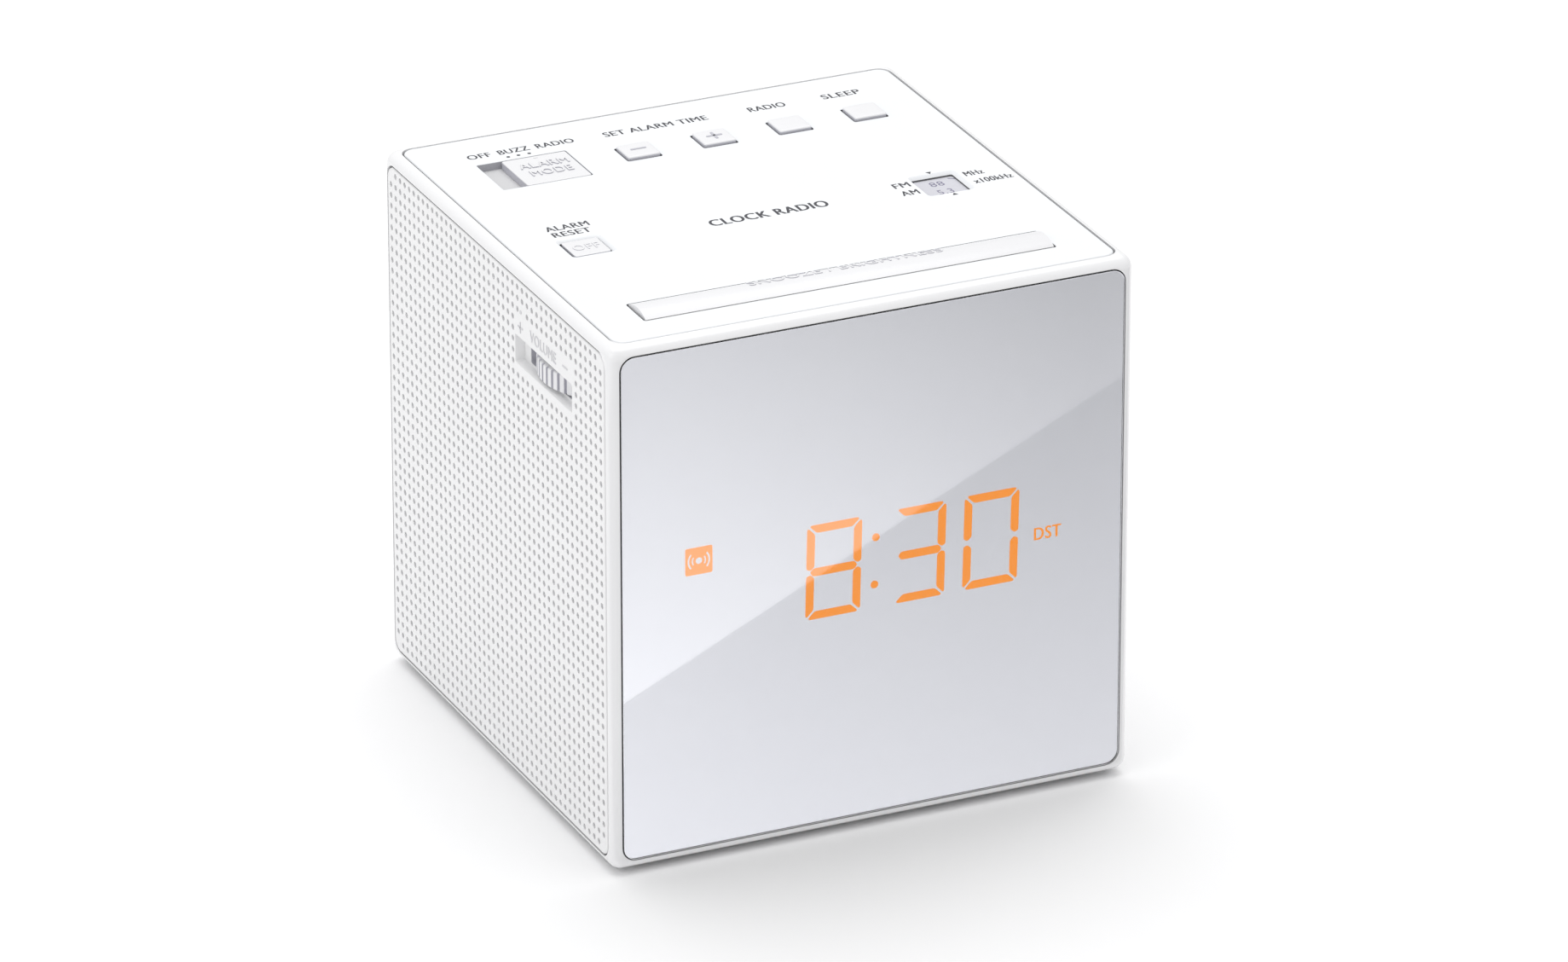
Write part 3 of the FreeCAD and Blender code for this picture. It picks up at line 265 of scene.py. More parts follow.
copper = ((0.5, 0.2, 0.08), (0.8, 0.42, 0.2))
finish = {
    "glossWhite": plastic((0.86, 0.86, 0.87), 0.16, bump=0.02, dust=0.05,
                          **{"Coat Weight": 0.4, "Coat Roughness": 0.06}),
    "topWhite": plastic((0.835, 0.85, 0.87), 0.42, grain=5200.0, bump=0.12, dust=0.05),
    "grilleWhite": plastic((0.85, 0.85, 0.855), 0.38, grain=4600.0, bump=0.08, dust=0.03),
    "keyWhite": plastic((0.795, 0.795, 0.81), 0.3, grain=4200.0),
    # Painted shade: a grey for the sides of keys and knobs, raised key signs, letter walls and wheel grooves.
    "paintedShadeGrey": plastic((0.5, 0.5, 0.55), 0.4, grain=4200.0),
    "dialGrey": plastic((0.6, 0.6, 0.65), 0.4, grain=4200.0),
    "dialPrint": plastic((0.2, 0.19, 0.28), 0.5, drift=0.2),
    # Painted shade on the floor of the selector recess.
    "recessFloorShade": plastic((0.62, 0.62, 0.63), 0.5, bump=0.1),
    "recessShade": plastic((0.4, 0.4, 0.43), 0.5, bump=0.1),
    "rearWhite": plastic((0.8, 0.8, 0.8), 0.48, grain=2600.0, bump=0.3, dust=0.1),
    "printGrey": plastic((0.055, 0.055, 0.065), 0.5, drift=0.3),
    # Painted shade: raised signs are greyer than the panel they stand on.
    "raisedSignShade": plastic((0.62, 0.62, 0.64), 0.35),
    # The coated plate reflects more than bare plastic would, so its index is high.
    "windowClear": plastic((0.99, 0.99, 1.0), 0.03, grain=400.0, bump=0.0, drift=0.01,
                           marks=0.01, **{"Transmission Weight": 1.0, "IOR": 1.8}),
    "mirrorFilm": metal((0.81, 0.815, 0.83), 0.03, tarnish=(0.71, 0.715, 0.735), amount=0.12,
                        streaks=0.01, bump=0.0),
    "amberGlow": glowing((1.0, 0.3, 0.008), 1.03),
    "holeFloorShade": wovenShadeMaterial((0.58, 0.58, 0.61), (0.42, 0.42, 0.45), 1600.0),
    "windowEdge": metal((0.66, 0.66, 0.7), 0.22, tarnish=(0.5, 0.5, 0.53)),
    # Painted shade for the gaps round the plates and down the walls of openings.
    "gapShade": plastic((0.12, 0.12, 0.125), 0.6, drift=0.2),
    "softRubber": plastic((0.035, 0.035, 0.036), 0.75, grain=2200.0, bump=0.4, drift=0.3),
    "screwSteel": metal((0.55, 0.54, 0.52), 0.28),
    "platedSteel": metal((0.7, 0.69, 0.66), 0.32, amount=0.3),
    "blackPlastic": plastic((0.02, 0.02, 0.022), 0.45, bump=0.2, drift=0.4),
    "switchGrey": plastic((0.12, 0.12, 0.13), 0.5, bump=0.2, drift=0.3),
    "ferriteDark": plastic((0.05, 0.05, 0.055), 0.4, grain=1500.0, bump=0.5, drift=0.4),
    "boardGreen": boardMaterial(),
    "coreIron": stripedMaterial((0.2, 0.2, 0.21), (0.32, 0.31, 0.3), 0.0006, "Y", 0.8, 0.5),
    "wireCopper": stripedMaterial(*copper, 0.0005, "Z", 0.9, 0.3),
    "coilCopper": stripedMaterial(*copper, 0.0004, "X", 0.9, 0.3),
    "conePaper": plastic((0.03, 0.03, 0.032), 0.85, grain=900.0, bump=0.8, drift=0.5),
    "canSleeve": plastic((0.03, 0.05, 0.2), 0.35, drift=0.2),
    "floorPale": plastic((0.97, 0.97, 0.975), 0.6, grain=900.0, bump=0.02, drift=0.004,
                         marks=0.05, **{"Specular IOR Level": 0.1}),
}
for name, material in finish.items():
    material.name = name
print("materials ready")


# Sides of the cube: each has its own across, up and outward directions, seen from outside.
sides = {
    "top": (Vector((1, 0, 0)), Vector((0, 1, 0)), Vector((0, 0, 1))),
    "bottom": (Vector((1, 0, 0)), Vector((0, -1, 0)), Vector((0, 0, -1))),
    "front": (Vector((1, 0, 0)), Vector((0, 0, 1)), Vector((0, -1, 0))),
    "rear": (Vector((-1, 0, 0)), Vector((0, 0, 1)), Vector((0, 1, 0))),
    "left": (Vector((0, -1, 0)), Vector((0, 0, 1)), Vector((-1, 0, 0))),
    "right": (Vector((0, 1, 0)), Vector((0, 0, 1)), Vector((1, 0, 0))),
}


def placer(side):
    across, up, out = sides[side]
    return lambda u, v, w: (across * u + up * v + out * w) * mm


# A rounded box outline is (u, v, width, height, corner radius) with corner steps as an optional sixth value.
def rectLoop(shape, grow=0.0):
    u, v, width, height, radius = shape[:5]
    steps = shape[5] if len(shape) > 5 else 5
    halfWide, halfTall = width / 2 + grow, height / 2 + grow
    corner = max(0.02, min(radius + grow, halfWide, halfTall))
    loop = []
    for quarter, (signU, signV) in enumerate(((1, 1), (-1, 1), (-1, -1), (1, -1))):
        for step in range(steps + 1):
            turn = math.radians(90.0 * (quarter + step / steps))
            loop.append((u + signU * (halfWide - corner) + corner * math.cos(turn),
                         v + signV * (halfTall - corner) + corner * math.sin(turn)))
    return loop


# A circle outline is (u, v, radius, steps).
def circleLoop(shape, grow=0.0):
    u, v, radius, steps = shape
    return [(u + (radius + grow) * math.cos(2 * math.pi * step / steps),
             v + (radius + grow) * math.sin(2 * math.pi * step / steps)) for step in range(steps)]


def loopOf(shape, grow=0.0):
    return circleLoop(shape, grow) if len(shape) == 4 else rectLoop(shape, grow)


def addRing(bm, place, loop, level):
    return [bm.verts.new(place(u, v, level)) for u, v in loop]


def joinRings(bm, first, second, slot=0, smooth=True):
    for step in range(len(first)):
        after = (step + 1) % len(first)
        face = bm.faces.new((first[step], first[after], second[after], second[step]))
        face.material_index = slot
        face.smooth = smooth


def insideLoop(point, loop):
    inside = False
    for (firstU, firstV), (secondU, secondV) in zip(loop, loop[1:] + loop[:1]):
        if (firstV > point.y) != (secondV > point.y):
            if point.x < firstU + (point.y - firstV) / (secondV - firstV) * (secondU - firstU):
                inside = not inside
    return inside


# Fills a flat area between one outline and any number of openings inside it.
def fillFlat(bm, outline, openings, slot=0):
    points, verts, owner, edges = [], [], [], []
    for number, (loop, rim) in enumerate([outline] + openings):
        start = len(points)
        points += [Vector(point) for point in loop]
        verts += rim
        owner += [number] * len(loop)
        edges += [(start + step, start + (step + 1) % len(loop)) for step in range(len(loop))]
    result = delaunay_2d_cdt(points, edges, [], 0, 1e-7)
    for corners in result[2]:
        sources = [result[3][corner][0] for corner in corners]
        owners = {owner[source] for source in sources}
        if len(owners) == 1 and 0 not in owners:
            middle = (points[sources[0]] + points[sources[1]] + points[sources[2]]) / 3
            if insideLoop(middle, openings[owners.pop() - 1][0]):
                continue
        face = bm.faces.new([verts[source] for source in sources])
        face.material_index = slot
        face.smooth = False


def roundSteps(bevel, steps):
    turns = [math.radians(90.0 * step / steps) for step in range(steps + 1)]
    return [(bevel * (1 - math.sin(turn)), -bevel * (1 - math.cos(turn))) for turn in turns]


# Rings of one outline that grow and shrink with height, joined by walls. The last wall can have its own slot.
def addRings(bm, place, shape, profile, slot=0, wall=None):
    rings = []
    for grow, level in profile:
        loop = loopOf(shape, grow)
        rings.append((loop, addRing(bm, place, loop, level)))
    for first, second in zip(rings, rings[1:]):
        isLast = second is rings[-1]
        joinRings(bm, first[1], second[1], wall if isLast and wall is not None else slot)
    return rings


# Cuts one opening down from a level. Gives back its rim, and the rim where it comes out at the back.
def sinkHole(bm, place, hole, level, back):
    edge = hole.get("profile") or roundSteps(hole.get("bevel", 0.15), hole.get("steps", 2))
    depth = hole.get("depth")
    floor = back if depth is None else level - depth
    profile = [(grow, level + drop) for grow, drop in edge] + [(0, floor)]
    rings = addRings(bm, place, hole["shape"], profile, wall=hole.get("wall", 0))
    if depth is None:
        return rings[0], [rings[-1]]
    inner = [sinkHole(bm, place, nested, floor, back) for nested in hole.get("inside", [])]
    fillFlat(bm, rings[-1], [rim for rim, ends in inner], hole.get("floor", 0))
    return rings[0], [end for rim, ends in inner for end in ends]


# A closed plate with rounded edges and openings. The levels are heights along the outward direction.
def makePlate(side, shape, level, back, holes, bevel=0.35, steps=3, wall=0):
    bm = bmesh.new()
    place = placer(side)
    profile = [(-grow, level + drop) for grow, drop in roundSteps(bevel, steps)] + [(0, back)]
    rings = addRings(bm, place, shape, profile, wall=wall)
    cuts = [sinkHole(bm, place, hole, level, back) for hole in holes]
    fillFlat(bm, rings[0], [rim for rim, ends in cuts])
    fillFlat(bm, rings[-1], [end for rim, ends in cuts for end in ends])
    bmesh.ops.recalc_face_normals(bm, faces=bm.faces)
    return bm


# A solid made of rings, closed at both ends.
def stackBlock(bm, place, shape, profile, slot=0):
    rings = addRings(bm, place, shape, profile, slot)
    fillFlat(bm, rings[0], [], slot)
    fillFlat(bm, rings[-1], [], slot)


# A thin flat solid with sharp edges.
def addOutline(bm, place, outline, low, high):
    lower, upper = addRing(bm, place, outline, low), addRing(bm, place, outline, high)
    joinRings(bm, lower, upper, 0, False)
    bm.faces.new(lower).smooth = False
    bm.faces.new(upper).smooth = False


# Gives the upright sides of a block, which are its first ring of faces, the second material, a painted shade
# grey where the callers use it.
def shadeSides(bm, shape):
    for face in list(bm.faces)[:len(loopOf(shape))]:
        face.material_index = 1


def makeThing(bm, name, materials):
    bmesh.ops.recalc_face_normals(bm, faces=bm.faces)
    mesh = meshFrom(bm, name)
    for material in materials:
        mesh.materials.append(finish[material])
    flatFaces = [face.index for face in mesh.polygons if not face.use_smooth]
    mesh.set_sharp_from_angle(angle=math.radians(32))
    for index in flatFaces:
        mesh.polygons[index].use_smooth = False
    return newObject(name, mesh)


def addPiece(bm, name, body, materials, replaces=()):
    piece = makeThing(bm, name, materials)
    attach(piece, body)
    if replaces:
        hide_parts(*replaces)
    return piece


# Letters as thin solid shapes, scaled to a stated width and height and laid on one side.
def addWords(bm, place, words, box, low, high, weight=0.0, rim=0):
    left, right, down, upper = box
    curve = bpy.data.curves.new("words", "FONT")
    curve.body = words
    curve.extrude = 0.5
    curve.resolution_u = 4
    curve.space_character = 1.08
    holder = newObject("words", curve)
    mesh = meshOf(holder)
    spotsX = [vertex.co.x for vertex in mesh.vertices]
    spotsY = [vertex.co.y for vertex in mesh.vertices]
    lowX, wide = min(spotsX), max(spotsX) - min(spotsX)
    lowY, tall = min(spotsY), max(spotsY) - min(spotsY)
    # Upright letter walls take slot rim; callers that set it give them a painted shade grey.
    for polygon in mesh.polygons:
        polygon.material_index = rim if abs(polygon.normal.z) < 0.5 else 0
    flat = [vertex.co.copy() for vertex in mesh.vertices]
    for shift in ((-weight, weight) if weight else (0.0,)):  # Drawn twice, side by side, for heavier strokes.
        for vertex, spot in zip(mesh.vertices, flat):
            u = left + (spot.x - lowX) / wide * (right - left) + shift
            v = down + (spot.y - lowY) / tall * (upper - down)
            vertex.co = place(u, v, low if spot.z < 0 else high + shift * 0.02)
        bm.from_mesh(mesh)
    bpy.data.objects.remove(holder)
    bpy.data.curves.remove(curve)
    bpy.data.meshes.remove(mesh)


# Frame: a rounded cube with a shallow seat in each side and three square openings right through.
frameShape = {"half": 50.75, "low": 1.0, "high": 101.5, "round": 2.5, "bar": 4.25, "seatDepth": 2.0,
              "seatGap": 0.35, "seatRound": 2.75, "panelWide": 96.9, "panelTall": 96.1, "topSpan": 96.6,
              "openRound": 0.6, "lipRound": 0.22, "lipAngle": 50, "sharpAngle": 35}


def makeFrame(shape):
    half, low, high = shape["half"], shape["low"], shape["high"]
    middle, tall = (low + high) / 2, high - low
    bm = bmesh.new()
    bmesh.ops.create_cube(bm, size=1.0)
    for vertex in bm.verts:
        vertex.co = Vector((vertex.co.x * 2 * half, vertex.co.y * 2 * half, vertex.co.z * tall + middle)) * mm
    bmesh.ops.bevel(bm, geom=bm.edges[:], offset=shape["round"] * mm, segments=8, profile=0.5, affect="EDGES",
                    clamp_overlap=False)
    bars = newObject("frameBars", meshFrom(bm, "frameBars"))
    gap, deep, past = 2 * shape["seatGap"], shape["seatDepth"], 5
    wide, upright, span = shape["panelWide"] + gap, shape["panelTall"] + gap, shape["topSpan"] + gap
    inner, innerTall = 2 * (half - shape["bar"]), tall - 2 * shape["bar"]
    seat, opening = shape["seatRound"], shape["openRound"]
    cuts = [(side, middle, wide, upright, seat, half - deep, half + past)
            for side in ("front", "rear", "left", "right")]
    cuts += [("top", 0, span, span, seat, high - deep, high + past),
             ("bottom", 0, span, span, seat, -low - deep, past),
             ("front", middle, inner, innerTall, opening, -60, 60),
             ("left", middle, inner, innerTall, opening, -60, 60),
             ("top", 0, inner, inner, opening, -20, 120)]
    cutters = []
    for side, v, across, up, radius, start, end in cuts:
        room = bmesh.new()
        stackBlock(room, placer(side), (0, v, across, up, radius, 8), [(0, start), (0, end)])
        cutters.append(makeThing(room, "cutter", ["glossWhite"]))
        modifier = bars.modifiers.new("cut", "BOOLEAN")
        modifier.object = cutters[-1]
        modifier.operation = "DIFFERENCE"
        modifier.solver = "EXACT"
    lip = bars.modifiers.new("lip", "BEVEL")
    lip.width = shape["lipRound"] * mm
    lip.segments = 2
    lip.limit_method = "ANGLE"
    lip.angle_limit = math.radians(shape["lipAngle"])
    lip.use_clamp_overlap = True
    bars.modifiers.new("weighted", "WEIGHTED_NORMAL").keep_sharp = True
    mesh = meshOf(bars)
    mesh.name = "cabinetFrame"
    mesh.materials.clear()
    mesh.materials.append(finish["glossWhite"])
    for thing in [bars] + cutters:
        bpy.data.objects.remove(thing)
    for face in mesh.polygons:
        face.use_smooth = True
    mesh.set_sharp_from_angle(angle=math.radians(shape["sharpAngle"]))
    piece = newObject("cabinetFrame", mesh)
    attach(piece, "cabinet")
    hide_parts("cabinet_frame")


makeFrame(frameShape)
print("frame ready")


# Top plate: key openings, the selector recess, the reset key's bevelled opening and the dial window.
topShape = {"span": 96.6, "round": 2.4, "level": 101.5, "back": 99.5, "keyRow": 29.7,
            "keyPlaces": (-9.5, 5.5, 20.5, 35.5), "keyHole": (6.9, 6.6, 0.4),
            "snooze": (0, -37.15, 79.6, 8.2, 0.5), "recess": (-29.8, 29.8, 17.5, 12.7, 0.35),
            "recessDepth": 1.5, "slide": (-29.5, 29.8, 8, 2.6, 0.4), "reset": (-35.45, -6.1, 7.5, 7.2, 0.4),
            "resetEdge": ((0.62, 0.0), (0.52, -0.05), (0.06, -0.46), (0.0, -0.55)),
            "dial": (33.9, -6.2, 8.2, 8.5, 0.35),
            "dialEdge": ((0.56, 0.0), (0.46, -0.07), (0.05, -0.55), (0.0, -0.62))}


def makeTop(shape):
    holes = [{"shape": (u, shape["keyRow"]) + shape["keyHole"], "bevel": 0.08, "wall": 1}
             for u in shape["keyPlaces"]]
    holes.append({"shape": shape["snooze"], "bevel": 0.08, "wall": 1})
    slide = {"shape": shape["slide"], "bevel": 0.1, "wall": 1}
    holes.append({"shape": shape["recess"], "bevel": 0.12, "depth": shape["recessDepth"],
                  "wall": 2, "floor": 3, "inside": [slide]})
    for name in ("reset", "dial"):
        holes.append({"shape": shape[name], "wall": 1, "profile": shape[name + "Edge"]})
    outline = (0, 0, shape["span"], shape["span"], shape["round"], 8)
    # The plate's outer wall and the walls of its openings take the painted gap shade; the recess walls and
    # floor take painted shade greys.
    bm = makePlate("top", outline, shape["level"], shape["back"], holes, wall=1)
    addPiece(bm, "topPlate", "cabinet", ["topWhite", "gapShade", "recessShade", "recessFloorShade"],
             ("top_plate",))


makeTop(topShape)

topPrint = {
    "low": 101.502, "high": 101.512,
    "weight": 0.06, "titleWeight": 0.11, "title": ("CLOCK RADIO", (-11.5, 11.4, -7.5, -4.7)),
    "labels": (("OFF", (-38.6, -34.2, 38.9, 40.9)), ("BUZZ", (-32.6, -26.7, 38.9, 40.9)),
               ("RADIO", (-25.2, -17.9, 38.9, 40.9)), ("SET ALARM TIME", (-11.9, 8.5, 38.7, 40.8)),
               ("RADIO", (16.9, 24.1, 38.7, 40.8)), ("SLEEP", (31.6, 39.1, 38.7, 40.8)),
               ("ALARM", (-39.2, -31.0, 2.3, 4.4)), ("RESET", (-39.0, -31.8, -0.6, 1.5)),
               ("FM", (25.3, 28.4, -5.3, -3.2)), ("AM", (25.2, 28.5, -9.0, -6.9)),
               ("MHz", (39.4, 43.0, -5.2, -3.2)), ("x100kHz", (39.5, 47.0, -9.0, -7.0))),
    "dots": ((-31.7, 37.4), (-29.7, 37.4), (-27.6, 37.4)), "dotRadius": 0.36,
    "marks": ((33.9, -0.6, -1), (33.9, -12.2, 1)), "markSize": (0.55, 0.95),
}


def makeTopPrint(setup):
    bm = bmesh.new()
    place, low, high = placer("top"), setup["low"], setup["high"]
    for words, box in setup["labels"]:
        addWords(bm, place, words, box, low, high, weight=setup["weight"])
    addWords(bm, place, *setup["title"], low, high, weight=setup["titleWeight"])
    for u, v in setup["dots"]:
        stackBlock(bm, place, (u, v, setup["dotRadius"], 16), [(0, low), (0, high)])
    half, tall = setup["markSize"]
    for u, v, way in setup["marks"]:
        addOutline(bm, place, [(u - half, v), (u + half, v), (u, v + way * tall)], low, high)
    addPiece(bm, "topPrint", "cabinet", ["printGrey"])


makeTopPrint(topPrint)
print("top ready")


# Keys: rounded caps with a slight crown, some with raised signs. The crown's steps are insets and drops.
keyShapes = {node: {"at": (u, topShape["keyRow"]), "size": (6.3, 6.0), "low": 99.6, "high": 102.2,
                    "sign": sign, "edge": 1.0}
             for node, u, sign in zip(("minus_key", "plus_key", "radio_key", "sleep_key"),
                                      topShape["keyPlaces"], ("minus", "plus", None, None))}
keyShapes["alarm_off_key"] = {"at": topShape["reset"][:2], "size": (6.9, 6.6), "low": 99.6, "high": 101.3,
                              "sign": "OFF", "edge": 0.35}
keyBodies = {"alarm_off_key": "alarm_off_body"}
keyCrown = {"edge": ((0, 0.33), (0.03, 0.22), (0.1, 0.12), (0.24, 0.05)), "round": 0.45,
            "face": ((0.5, 0.02), (1.6, 0.0)), "sign": (3.1, 0.5), "signRound": 0.2, "wordHalf": (2.5, 1.15),
            "rise": 0.1, "sink": 0.05}


def makeKey(node, shape, crown):
    bm = bmesh.new()
    place = placer("top")
    (u, v), high, edge = shape["at"], shape["high"], shape["edge"]
    outline = (u, v) + shape["size"] + (crown["round"], 6)
    profile = [(0, shape["low"])] + [(-inset * edge, high - drop * edge) for inset, drop in crown["edge"]]
    stackBlock(bm, place, outline, profile + [(-inset, high - drop * edge) for inset, drop in crown["face"]])
    # The key's sides and its raised signs take the painted shade grey.
    shadeSides(bm, outline)
    low, top = high - crown["sink"], high + crown["rise"]
    bars = {"minus": (crown["sign"],), "plus": (crown["sign"], crown["sign"][::-1])}
    for size in bars.get(shape["sign"], ()):
        stackBlock(bm, place, (u, v) + size + (crown["signRound"], 3), [(0, low), (0, top)], 1)
    if shape["sign"] == "OFF":
        wide, tall = crown["wordHalf"]
        addWords(bm, place, "OFF", (u - wide, u + wide, v - tall, v + tall), low, top, rim=1)
    addPiece(bm, node.replace("_key", "Key"), keyBodies.get(node, node + "_body"),
             ["keyWhite", "paintedShadeGrey"], (node,))


for node, shape in keyShapes.items():
    makeKey(node, shape, keyCrown)


# Long bar along the front of the top: its section is a shallow arch. The ends are insets and shrinks.
barShape = {"at": (0, -37.15), "size": (78.9, 7.5), "low": 98.9, "edge": 101.5, "crown": 102.5, "steps": 24,
            "ends": ((0.0, 0.12), (0.05, 0.03), (0.14, 0.0)), "shrinkDown": 0.9,
            "words": ("SNOOZE / BRIGHTNESS", (-17.6, 19.8, -36.9, -34.5)), "wordLevels": (-0.06, 0.14)}


def makeBar(shape):
    (u, v), (wide, deep) = shape["at"], shape["size"]
    rise, half = shape["crown"] - shape["edge"], deep / 2
    radius = (half * half + rise * rise) / (2 * rise)

    def archLevel(across):
        return shape["crown"] - radius + math.sqrt(max(0.0, radius * radius - across * across))

    arch = [-half + deep * step / shape["steps"] for step in range(shape["steps"] + 1)]
    section = [(across, archLevel(across)) for across in arch]
    section = [(-half, shape["low"])] + section + [(half, shape["low"])]
    ends = [(-wide / 2 + inset, shrink) for inset, shrink in shape["ends"]]
    ends += [(-along, shrink) for along, shrink in reversed(ends)]
    bm = bmesh.new()
    rings = []
    for along, shrink in ends:
        ring = []
        for across, level in section:
            inward = shrink if level > shape["low"] else 0.0
            spot = (u + along, v + across * (1 - inward / half), level - inward * shape["shrinkDown"])
            ring.append(bm.verts.new(Vector(spot) * mm))
        rings.append(ring)
    for first, second in zip(rings, rings[1:]):
        joinRings(bm, first, second)
    for ring in (rings[0], rings[-1]):
        bm.faces.new(ring).smooth = False
    addPiece(bm, "snoozeBar", "snooze_body", ["keyWhite"], ("snooze_bar",))

    def onArch(across, along, level):
        return Vector((across, along, archLevel(along - v) + level)) * mm

    bm = bmesh.new()
    # The letter walls take the painted shade grey.
    addWords(bm, onArch, *shape["words"], *shape["wordLevels"], rim=1)
    addPiece(bm, "snoozeWords", "snooze_body", ["keyWhite", "paintedShadeGrey"])


makeBar(barShape)

# Alarm selector: a flush knob that slides in its recess, with raised letters and a pointer.
selectorShape = {"at": (-27.5, 29.8), "size": (12.5, 12.2, 0.4, 5), "low": 100.05, "high": 101.5,
                 "edge": ((0, 0.16), (0.05, 0.05), (0.16, 0)), "sink": 0.03, "rise": 0.2,
                 "words": (("ALARM", (-32.0, -22.5, 30.7, 33.0)), ("MODE", (-31.2, -23.2, 27.0, 29.4))),
                 "tip": ((-0.45, 5.0), (0.45, 5.0), (0, 5.8)), "tipRise": 0.1}


def makeSelector(shape):
    bm = bmesh.new()
    place = placer("top")
    (u, v), high = shape["at"], shape["high"]
    outline = (u, v) + shape["size"]
    profile = [(0, shape["low"])] + [(-inset, high - drop) for inset, drop in shape["edge"]]
    stackBlock(bm, place, outline, profile)
    # The knob's sides and its letter walls take the painted shade grey.
    shadeSides(bm, outline)
    low = high - shape["sink"]
    for words, box in shape["words"]:
        addWords(bm, place, words, box, low, high + shape["rise"], rim=1)
    addOutline(bm, place, [(u + tipU, v + tipV) for tipU, tipV in shape["tip"]], low, high + shape["tipRise"])
    addPiece(bm, "modeSelector", "mode_slider_body", ["keyWhite", "paintedShadeGrey"], ("mode_slider",))


makeSelector(selectorShape)
print("keys ready")


# Side panels: a square grid of blind holes with painted shade on their floors, a plain pad and a pocket for a
# thumb wheel.
gridShape = {"count": 45, "start": -46.86, "pitch": 2.13, "low": 4.95, "rise": 2.117, "radius": 0.57,
             "depth": 0.8, "corner": (45.5, 6, 97), "panel": (0, 51.25, 96.9, 96.1, 2.4, 8), "level": 50.75,
             "back": 48.75, "pocketDepth": 1.9, "collar": 1.4,
             "signs": (("plus", 2.2, 0.36), ("plus", 0.36, 2.2), ("minus", 2.2, 0.36)), "signRound": 0.12,
             "tick": (0.42, 12), "signSink": 0.02, "signRise": 0.1}
leftShape = {"side": "left", "node": "left_panel", "pocket": (22.0, 86.05, 24.8, 5.3, 0.3),
             "slot": (22.0, 85.95, 19.66, 4.3), "pad": (9.6, 35.2, 82.2, 92.9), "skip": (12.0, 94.0, 0.9),
             "words": ("VOLUME", (16.3, 27.7, 89.9, 92.0)), "plus": (12.0, 90.8), "minus": (31.6, 90.9),
             "tick": (12.2, 93.8)}
rightShape = {"side": "right", "node": "right_panel", "pocket": (1.2, 94.1, 26.0, 5.3, 0.3),
              "slot": (1.2, 94.0, 20.88, 4.0), "pad": (-12.9, 15.3, 86.5, 99.0), "skip": None,
              "words": ("TUNING", (-4.6, 7.0, 87.9, 90.0)), "plus": (12.4, 89.0), "minus": (-10.0, 89.0),
              "tick": None}


def makeGrille(shape, grid):
    slot = {"shape": shape["slot"] + (0.25,), "bevel": 0.06, "steps": 1}
    holes = [{"shape": shape["pocket"], "depth": grid["pocketDepth"], "inside": [slot]}]
    leftEdge, rightEdge, lowEdge, highEdge = shape["pad"]
    cornerU, cornerLow, cornerHigh = grid["corner"]
    skip = shape["skip"]
    for column in range(grid["count"]):
        u = grid["start"] + grid["pitch"] * column
        for row in range(grid["count"]):
            v = grid["low"] + grid["rise"] * row
            inCorner = abs(u) > cornerU and not cornerLow <= v <= cornerHigh
            inPad = leftEdge < u < rightEdge and lowEdge < v < highEdge
            if inPad or inCorner or (skip and math.hypot(u - skip[0], v - skip[1]) < skip[2]):
                continue
            holes.append({"shape": (u, v, grid["radius"], 12), "bevel": 0.05, "steps": 1,
                          "depth": grid["depth"], "floor": 1})
    # Hole floors take the painted hole shade; the plate's outer wall takes the painted gap shade.
    bm = makePlate(shape["side"], grid["panel"], grid["level"], grid["back"], holes, wall=2)
    addPiece(bm, shape["side"] + "Grille", "cabinet",
             ["grilleWhite", "holeFloorShade", "gapShade"], (shape["node"],))


# Raised signs and words beside a thumb wheel. They stand 0.1 proud of the panel and are a darker grey, a
# painted shade.
def makeSigns(shape, grid):
    bm = bmesh.new()
    place = placer(shape["side"])
    low, high = grid["level"] - grid["signSink"], grid["level"] + grid["signRise"]
    addWords(bm, place, *shape["words"], low, high)
    for sign, wide, tall in grid["signs"]:
        outline = shape[sign] + (wide, tall, grid["signRound"], 3)
        stackBlock(bm, place, outline, [(0, low), (0, high - 0.03), (-0.04, high)])
    if shape["tick"]:
        stackBlock(bm, place, shape["tick"] + grid["tick"], [(0, low), (-0.05, high)])
    addPiece(bm, shape["side"] + "Signs", "cabinet", ["raisedSignShade"])


# A short collar behind a thumb wheel's slot hides the inside of the case beside the wheel. Its grey is
# painted shade, standing in for the shaded inside seen through the slot.
def makeCollar(shape, grid):
    u, v, wide, tall = shape["slot"]
    opening = {"shape": (u, v, wide, tall, 0.25), "bevel": 0.05, "steps": 1}
    bm = makePlate(shape["side"], (u, v, wide + 1.0, tall + 1.0, 0.5), grid["back"] - 0.02,
                   grid["back"] - grid["collar"], [opening], bevel=0.05, steps=1)
    addPiece(bm, shape["side"] + "ShadeCollar", "cabinet", ["paintedShadeGrey"])


for shape in (leftShape, rightShape):
    makeGrille(shape, gridShape)
    makeSigns(shape, gridShape)
    makeCollar(shape, gridShape)
print("side panels ready")

# Thumb wheels: ridged rims, and a numbered disc on the tuning wheel. A dial row is its radius, words, degrees
# between words, word height and letter width.
rimShape = {"depth": 0.4, "tooth": (0.0, 0.6, 0.7, 0.9), "edge": ((0.28, 0.0), (0.08, 0.07), (0.0, 0.22)),
            "grooveLoss": 0.6}
volumeShape = {"at": (-35.75, -22.0), "radius": 15.0, "ridges": 54, "low": 84.2, "high": 87.7}
tuningShape = {"at": (33.9, 1.2), "radius": 16.85, "ridges": 60, "low": 92.4, "high": 95.6,
               "drum": 8.0, "disc": 12.1, "discLow": 99.36, "discHigh": 100.55, "discEdge": 0.1,
               "print": (100.552, 100.564)}
dialNumbers = ((5.45, ("88", "92", "96", "100", "104", "108"), 60.0, 2.0, 1.35),
               (9.2, ("5.3", "6", "7", "8", "10", "12", "14", "17"), 42.86, 2.0, 1.3))


